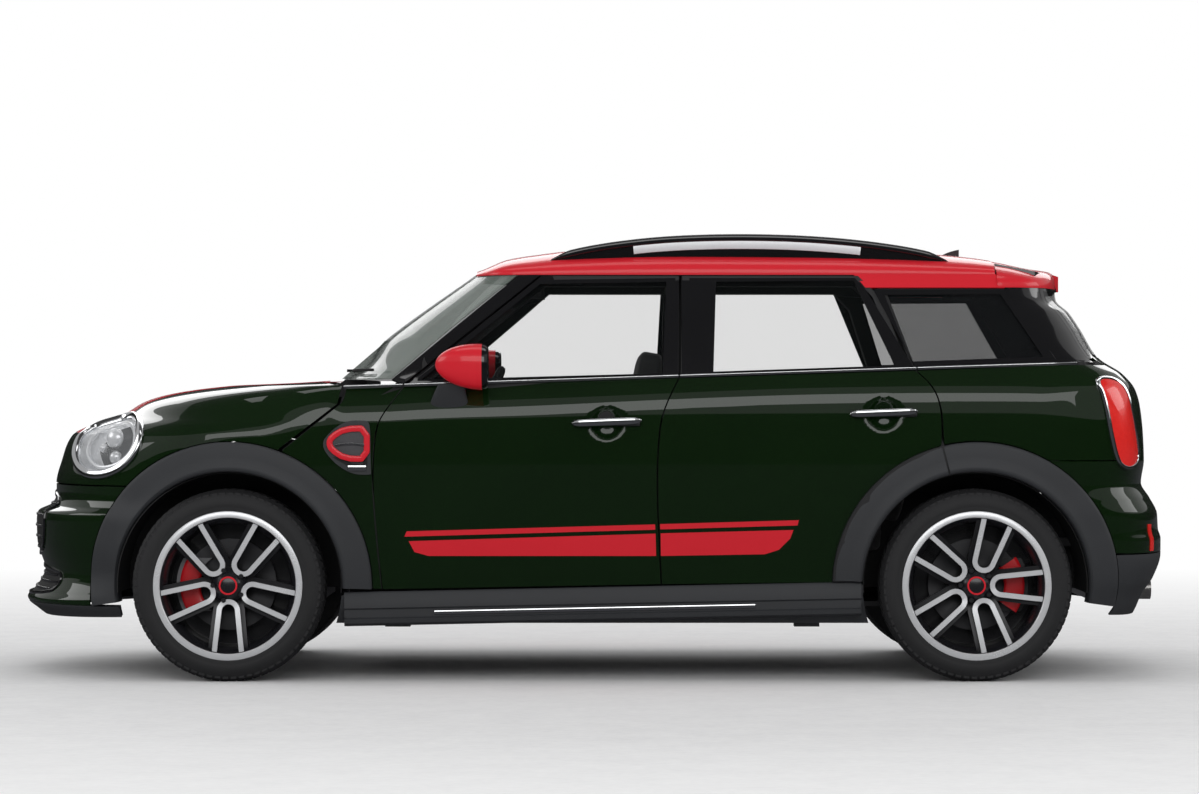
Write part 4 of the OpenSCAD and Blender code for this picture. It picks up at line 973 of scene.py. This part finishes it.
def grilleRing(points, high):
    return sweep(onNose(closedLoop(points, 160), 3), roundProfile(9, high, 12), closed=True, outward=(1, 0, 0))


panels = joined(*[grillePanel(o["line"]) for o in openings.values()])
piece("grille_panels", panels, softBlack, replaces=("front_grille",))
piece("grille_bars", joined(*[grilleBar(z, half) for z, half in grilleBars]), rimBlack)
piece("grille_rings", joined(*[grilleRing(o["line"], o["ring"]) for o in openings.values()]), glossBlack)
print("grille")

# mirrors: a cap whose nose grows quickly and ends in a flat back, a foot and a black housing
mirror = {"x": 492.0, "y": 912.0, "z": 1122.0, "long": 84.0, "deep": 84.0, "high": 82.0, "power": 2.6}
u, v = np.meshgrid(np.linspace(0, 1, 40), np.linspace(0, 2 * np.pi, 60, endpoint=False), indexing="ij")
r, k = np.clip(1 - (1 - u) ** 2.2, 0, 1) ** 0.55, 2 / mirror["power"]
capGrid = xyz(mirror["x"] + mirror["long"] - 2 * mirror["long"] * u,
    mirror["y"] + mirror["deep"] * r * signPower(np.cos(v), k),
    mirror["z"] + mirror["high"] * r * signPower(np.sin(v), k) + 8 * (1 - u))
last, inset = capGrid[-1], np.array([10, 0, 0])
back = last.mean(0)
capGrid = np.concatenate([capGrid, [last * 0.9 + back * 0.1, last * 0.88 + back * 0.12 + inset]])
n, m = capGrid.shape[:2]
i, hub = (n - 1) * m + np.arange(m), np.full(m, n * m)
capFaces = np.vstack([gridFaces(n, m, False, True), np.stack([hub, np.roll(i, -1), i, hub], 1)])
cap = outwardFaces(np.vstack([capGrid.reshape(-1, 3), back + inset]), capFaces)
footPath = along(rounded([(516, 905, 1062), (522, 890, 1036), (526, 872, 1006), (528, 850, 972)], 2), 24)
bar = roundProfile(120, 150, 24, 2.4)
footGrid = footPath[:, None] + xyz(bar[:, 1], bar[:, 0] * 0.42, 0) * np.linspace(0.62, 1.0, 24)[:, None, None]
housing = [last * (1, 0, 0) + (dx, 0, 0) + (last * k + back * (1 - k)) * (0, 1, 1)
           for dx, k in ((2, 0.98), (-10, 0.97), (-20, 0.9), (-22, 0.8), (-22, 0.02))]
pair("mirror_cap_*", cap, paintRed, "door_front_*", ("mirror_*",))
pair("mirror_foot_*", shell(footGrid, closeV=True), darkPlastic, "door_front_*")
pair("mirror_back_*", shell(np.stack(housing, 1), True), glossBlack, "door_front_*")
print("mirrors")

# roof rails: a bar that rises from the roof by the root of a half sine, with a wall below it
rail = {"front": 180.0, "rear": -1290.0, "y": 590.0, "rise": 84.0, "insert": (-965, -128)}
s = np.linspace(0, 1, 90)
xs = rail["rear"] + (rail["front"] - rail["rear"]) * s
edge, p = roofSide(xs), car["roofPower"]
base = edge + (roofZ(xs) - edge) * np.clip(1 - (rail["y"] / cabinY(xs, edge)) ** p, 0, 1) ** (1 / p)
path = xyz(xs, rail["y"], base + rail["rise"] * np.clip(np.sin(np.pi * s), 0, 1) ** 0.5)
railBar = tapered(path - (0, 0, 13.5), roundProfile(34, 27, 16, 3.2), np.clip(np.sin(np.pi * s) * 6, 0.35, 1))
wallTop = np.maximum(path[:, 2] - 20, base - 4)
wallGrid = np.stack([xyz(xs, rail["y"], base - 6), xyz(xs, rail["y"], wallTop)], 1)
railWall = sheet(wallGrid, 7.0, 14.0, outwards=(0, 1, 0))
piece("rail_bars", bothSides(joined(railBar, railWall)), glossBlack, replaces=("roof_rails",))
silver = path[(xs > rail["insert"][0]) & (xs < rail["insert"][1])] + (0, 9.0, -40.0)
piece("rail_inserts", bothSides(sweep(silver, roundProfile(6, 30, 12))), satinSilver)
print("rails")

# wheels, drawn about their own middle: x to the right in the photograph, y outwards, z up
wheel = {"loops": 5, "halfIn": 33.0, "halfOut": 50.0, "inner": 58.0, "flank": 15.0, "face": 98.0, "boltR": 56.0,
         "turns": {"front": -90.0, "rear": 0.0}}


def wheelPart(part, front):
    at = np.array([car["fx"] if front else car["rx"], car["wheelY"], car["axle"]])
    return outwardFaces(part[0] * np.array([-1, 1, 1]) + at, part[1][:, ::-1])


def turned(verts, deg):
    c, s = np.cos(np.radians(deg)), np.sin(np.radians(deg))
    return xyz(verts[:, 0] * c - verts[:, 2] * s, verts[:, 1], verts[:, 0] * s + verts[:, 2] * c)


def loopLine(halfIn, halfOut, inner, outer, n=60):
    # U shape along +x: a round end near the hub and two arms that spread towards the rim
    a = np.linspace(np.pi / 2, 3 * np.pi / 2, 24)
    end = np.stack([inner + halfIn * (1 + np.cos(a)), halfIn * np.sin(a)], 1)
    return along(np.vstack([[(outer, halfOut)], end, [(outer, -halfOut)]]), n)


tyreProfile = rounded([(241, -98), (262, -104), (288, -112), (306, -111), (328, -100), (338, -88), (342, -70),
    (342.5, 0), (342, 70),
    (338, 88), (328, 100), (306, 111), (290, 112.5), (280, 110), (272, 110), (262, 106), (241, 98)], 2)
tread = {"blocks": 72, "half": 1.75, "deep": 8.0, "skew": 0.0006,
         "rows": ((72, 102, 343.2, 332.0), (-102, -72, 332.0, 343.2), (-62, -18, 344.0, 344.0), (18, 62, 344.0, 344.0),
                  (-12, 12, 344.0, 344.0))}


def treadPart():
    # rows of blocks all round, each row as (from, to, radius, radius); a block has 8 corners: side, edge, depth
    a, w = np.linspace(0, 2 * np.pi, tread["blocks"], endpoint=False), np.radians(tread["half"])
    box = np.array([[0, 1, 3, 2], [4, 6, 7, 5], [0, 4, 5, 1], [2, 3, 7, 6], [1, 5, 7, 3], [0, 2, 6, 4]])
    faces = (np.arange(tread["blocks"])[:, None, None] * 8 + box[None]).reshape(-1, 4)
    parts = []
    for y0, y1, r0, r1 in tread["rows"]:
        corners = [(s, y, r - deep) for s in (-1, 1) for y, r in ((y0, r0), (y1, r1)) for deep in (tread["deep"], 0)]
        s, y, r = np.array(corners, float).T
        turn = a[:, None] + s * w + tread["skew"] * y
        parts.append((xyz(r * np.cos(turn), y, r * np.sin(turn)).reshape(-1, 3), faces))
    return joined(*parts)


barrel = revolved([(261, 100), (259, 105), (246, 105), (241, 100), (232, 84), (222, 60), (216, -60), (232, -96),
    (241, -100),
    (248, -96), (246, -90), (226, -50), (230, 60), (244, 88), (252, 96)], 120)
lipRing = revolved([(266, 99), (266, 108), (262, 110.5), (246, 110.5), (243, 107), (243, 98)], 160)
hubCap = revolved([(0.5, 40), (0.5, 94), (28, 93), (33, 90), (38, 84), (60, 70), (66, 52), (66, 30)], 80)
backPlate = revolved([(70, -62), (70, -58), (222, -58), (222, -62)], 80)
capRing = revolved([(27, 91), (27, 95), (33, 94.5), (33, 90)], 60)
brakeDisc = revolved([(60, -34), (60, -16), (74, -14), (164, -14), (164, -20), (160, -22), (160, -28), (164, -30),
    (164, -36),
    (74, -36)], 96)
bolt = revolved([(0.5, 70), (0.5, 83), (8, 83), (9, 80), (9, 70)], 12)
bolts = joined(*[(bolt[0] + turned(np.array([[wheel["boltR"], 0, 0]]), 72 * i + 36), bolt[1]) for i in range(5)])
clamp = {"r": 152.0, "y": 8.0, "half": 34.0, "section": [(-46, -6), (-46, 16), (-36, 24), (16, 24), (26, 16), (26, -6)]}


def spokePath(line, drop, start, span, power, off=0.0):
    # the spoke's face falls back towards the hub by a power of the distance share
    fall = drop * np.clip(1 - (np.hypot(line[:, 0], line[:, 1]) - start) / span, 0, 1) ** power
    return xyz(line[:, 0], wheel["face"] - off - fall, line[:, 1])


def spokeParts(turn):
    # one loop as dark body, bright face and grey flank, each repeated round the hub
    halfIn, halfOut, inner, flank = (wheel[k] for k in ("halfIn", "halfOut", "inner", "flank"))
    path = spokePath(loopLine(halfIn, halfOut, inner, 250), 20, 60, 170, 1.5)
    wide = spokePath(loopLine(halfIn + flank, halfOut + flank, inner - 12, 246), 34, 80, 150, 1.4, 12)
    rows = ((path, [(-1, -10), (-1, 10), (-52, 7), (-52, -7)]),
        (path + (0, 1.4, 0), [(-0.6, -9), (-0.6, 9), (-8, 9), (-8, -9)]),
            (wide, [(0, -9), (0, 9), (-40, 9), (-40, -9)]))
    loops = [sweep(way, section) for way, section in rows]
    return [joined(*[(turned(v, turn + 72 * i), f) for i in range(wheel["loops"])]) for v, f in loops]


for key in ("front", "rear"):
    front = key == "front"
    dark, bright, grey = spokeParts(wheel["turns"][key])
    rows = (("tyre", joined(revolved(tyreProfile, 144), treadPart()), rubber, (f"tyre_{key}_*",)),
            ("rim", joined(barrel, dark, hubCap, backPlate), rimBlack, (f"rim_{key}_*",)),
            ("flanks", grey, rimGrey, ()), ("faces", joined(lipRing, bright), machined, ()),
            ("disc", brakeDisc, discSteel, ()), ("cap_ring", capRing, paintRed, ()), ("bolts", bolts, rimGrey, ()))
    for name, part, material, old in rows:
        pair(f"wheel_{key}_*_{name}", wheelPart(part, front), material, f"wheel_{key}_*", old)
    # clamp: a banana block over the disc, its section as (radius, out)
    a = np.radians(np.linspace(-clamp["half"], clamp["half"], 24) + (180 if front else 0))[:, None]
    r, out = np.array(clamp["section"], float).T
    grid = xyz((clamp["r"] + r) * np.cos(a), clamp["y"] + out, (clamp["r"] + r) * np.sin(a))
    pair(f"clamp_{key}_*", wheelPart(shell(grid, closeV=True), front), caliperRed, "knuckle_*" if front else "body")
print("wheels")

# cabin: padded seats
seats = {"frontX": 115.0, "frontY": (370.0, -370.0), "rearX": -900.0}


def cushion(size, centre, lean=0.0, crown=0.16, n=40, m=32):
    # pillow: a superellipsoid whose faces crown outwards, leaned about the y axis
    u, v = np.meshgrid(np.linspace(-np.pi / 2, np.pi / 2, n), np.linspace(0, 2 * np.pi, m, endpoint=False),
        indexing="ij")
    k, l = 0.34, 0.38
    wide = signPower(np.cos(u), k)
    x, y, z = wide * signPower(np.cos(v), l), wide * signPower(np.sin(v), l), signPower(np.sin(u), k)
    z = z * (1 + crown * (1 - x * x) * (1 - y * y))
    z = z * (1 - 0.06 * np.exp(-((np.abs(y) - 0.55) / 0.05) ** 2))  # two seams along the pillow
    p = xyz(x, y, z).reshape(-1, 3) * size / 2
    return shell((turned(p, lean) + centre).reshape(n, m, 3), closeV=True)


x, parts = seats["frontX"], []
for y in seats["frontY"]:
    parts += [cushion((500, 480, 150), (x, y, 470), 4), cushion((520, 460, 110), (x - 240, y, 780), 104),
              cushion((190, 250, 84), (x - 302, y, 1085), 100)]
    parts += [cushion((470, 60, 120), (x, y + s * 205, 520), 4) for s in (-1, 1)]
x = seats["rearX"]
parts += [cushion((470, 1150, 130), (x + 70, 0, 515), 3), cushion((470, 1150, 100), (x - 210, 0, 770), 103)]
parts += [cushion((150, 240, 76), (x - 246, y, 1058), 98) for y in (-370, 370)]
seat = piece("seat_cushions", joined(*parts), seatCloth, replaces=("seats",))
print("cabin")

# finishes of the CAD nodes that stay
kept = {"floor_pan": underSteel, "engine_block": castAlloy, "front_subframe": underSteel, "rear_subframe": underSteel,
        "exhaust": pipeSteel, "sill_panels": darkPlastic, "body_frame": softBlack, "front_fenders": softBlack,
        "bulkhead": softBlack, "rear_quarters": softBlack, "headlamps": softBlack, "dashboard": cabinTrim,
        "spoiler": glossBlack, "knuckle_left": castAlloy, "knuckle_right": castAlloy}
kept.update({f"door_{e}_{s}": cabinTrim for e in ("front", "rear") for s in ("left", "right")})
for name, material in kept.items():
    nodes[name].data.materials.clear()
    nodes[name].data.materials.append(material)

# stage: pale floor, soft boxes and reflection cards
stage = {"floor": 60.0, "boxes": 2.2, "top": 1.6, "ambient": 0.55, "mirrored": 0.38}


def stageMaterial(name, colour, strength=1.0):
    material = bpy.data.materials.new(name)
    material.use_nodes = True
    tree = material.node_tree
    tree.nodes.clear()
    glow = add(tree, "Emission")
    fill(glow, {"Color": (*colour, 1), "Strength": strength})
    out = add(tree, "OutputMaterial")
    wire(tree, (glow, 0, out, "Surface"))
    return material


def stageGrid(name, grid, material):
    data = bpy.data.meshes.new(name)
    n, m = grid.shape[:2]
    data.from_pydata(grid.reshape(-1, 3).tolist(), [], gridFaces(n, m).tolist())
    data.materials.append(material)
    obj = bpy.data.objects.new(name, data)
    scene.collection.objects.link(obj)
    return obj


floorMat = bpy.data.materials.new("paleFloor")
floorMat.use_nodes = True
tree = floorMat.node_tree
shader = tree.nodes["Principled BSDF"]
where = add(tree, "TexCoord")
speckle = add(tree, "Group")
speckle.node_tree = grain
fill(speckle, {"Dark": (0.66, 0.66, 0.67, 1), "Light": (0.86, 0.86, 0.86, 1), "Scale": 30, "Rough": 0.9})
wire(tree, (where, "Object", speckle, "Vector"), (speckle, "Color", shader, "Base Color"))
fill(shader, {"Roughness": 0.9, "Specular IOR Level": 0.1})
# far floor fades to white; mirror-like surfaces see a darker floor
rays = add(tree, "LightPath")
length = add(tree, "VectorMath")
length.operation = "LENGTH"
wire(tree, (where, "Object", length, 0))
fade = add(tree, "MapRange")
fill(fade, {"From Min": 3.2, "From Max": 9.0})
wire(tree, (length, "Value", fade, "Value"))
white = add(tree, "Emission")
dim = add(tree, "Emission")
fill(dim, {"Color": (0.05, 0.05, 0.055, 1)})
far = mixed(tree, fade.outputs["Result"], shader.outputs[0], white.outputs[0])
seen = mixed(tree, rays.outputs["Is Glossy Ray"], far, dim.outputs[0])
tree.links.new(seen, tree.nodes["Material Output"].inputs["Surface"])
a = stage["floor"]
stageGrid("pale_floor", np.array([[[-a, -a, 0], [a, -a, 0]], [[-a, a, 0], [a, a, 0]]], float), floorMat)


def cardRing(name, low, high, radius, colour):
    # band of a dome between two heights above the horizon, seen by mirror rays alone
    e, t = np.meshgrid(np.radians(np.linspace(low, high, 8)), np.linspace(0, 2 * np.pi, 49), indexing="ij")
    grid = radius * np.stack([np.cos(e) * np.cos(t), np.cos(e) * np.sin(t), np.sin(e)], -1)
    obj = stageGrid(name, grid, stageMaterial(name + "_paper", colour))
    obj.visible_camera = obj.visible_diffuse = obj.visible_transmission = obj.visible_shadow = False
    return obj


cardRing("low_card", -2, 11, 40, (0.012, 0.013, 0.012))
cardRing("high_card", 44, 90, 40, (0.06, 0.06, 0.06))


def softBox(name, where, aim, width, height, glow):
    data = bpy.data.lights.new(name, "AREA")
    data.shape = "RECTANGLE"
    data.size, data.size_y = width, height
    data.energy = glow * np.pi * width * height
    obj = bpy.data.objects.new(name, data)
    obj.location = where
    direction = np.array(aim, float) - np.array(where, float)
    obj.rotation_euler = Vector(direction).to_track_quat("-Z", "Y").to_euler()
    obj.visible_camera = False
    scene.collection.objects.link(obj)


for name, where, wide in (("left_box", (0, 13, 6.6), 15), ("right_box", (0, -13, 6.6), 15),
    ("nose_box", (14, 0, 6.6), 9), ("tail_box", (-14, 0, 6.6), 9)):
    softBox(name, where, (0, 0, 0.8), wide, 5.6, stage["boxes"])
softBox("top_box", (0, 0, 7.5), (0, 0, 0), 7.0, 2.4, stage["top"])

world = bpy.data.worlds.new("studio")
scene.world = world
world.use_nodes = True
tree = world.node_tree
tree.nodes.clear()
rays = add(tree, "LightPath")
seen = mathNode(tree, "MAXIMUM", rays.outputs["Is Camera Ray"], rays.outputs["Is Transmission Ray"])
soft, plain, dusk = (add(tree, "Background") for _ in range(3))
for node, level in ((soft, stage["ambient"]), (plain, 1.0), (dusk, stage["mirrored"])):
    fill(node, {"Color": (level, level, level, 1)})
light = mixed(tree, seen, soft.outputs[0], plain.outputs[0])
light = mixed(tree, rays.outputs["Is Glossy Ray"], light, dusk.outputs[0])
tree.links.new(light, add(tree, "OutputWorld").inputs["Surface"])
print("stage")
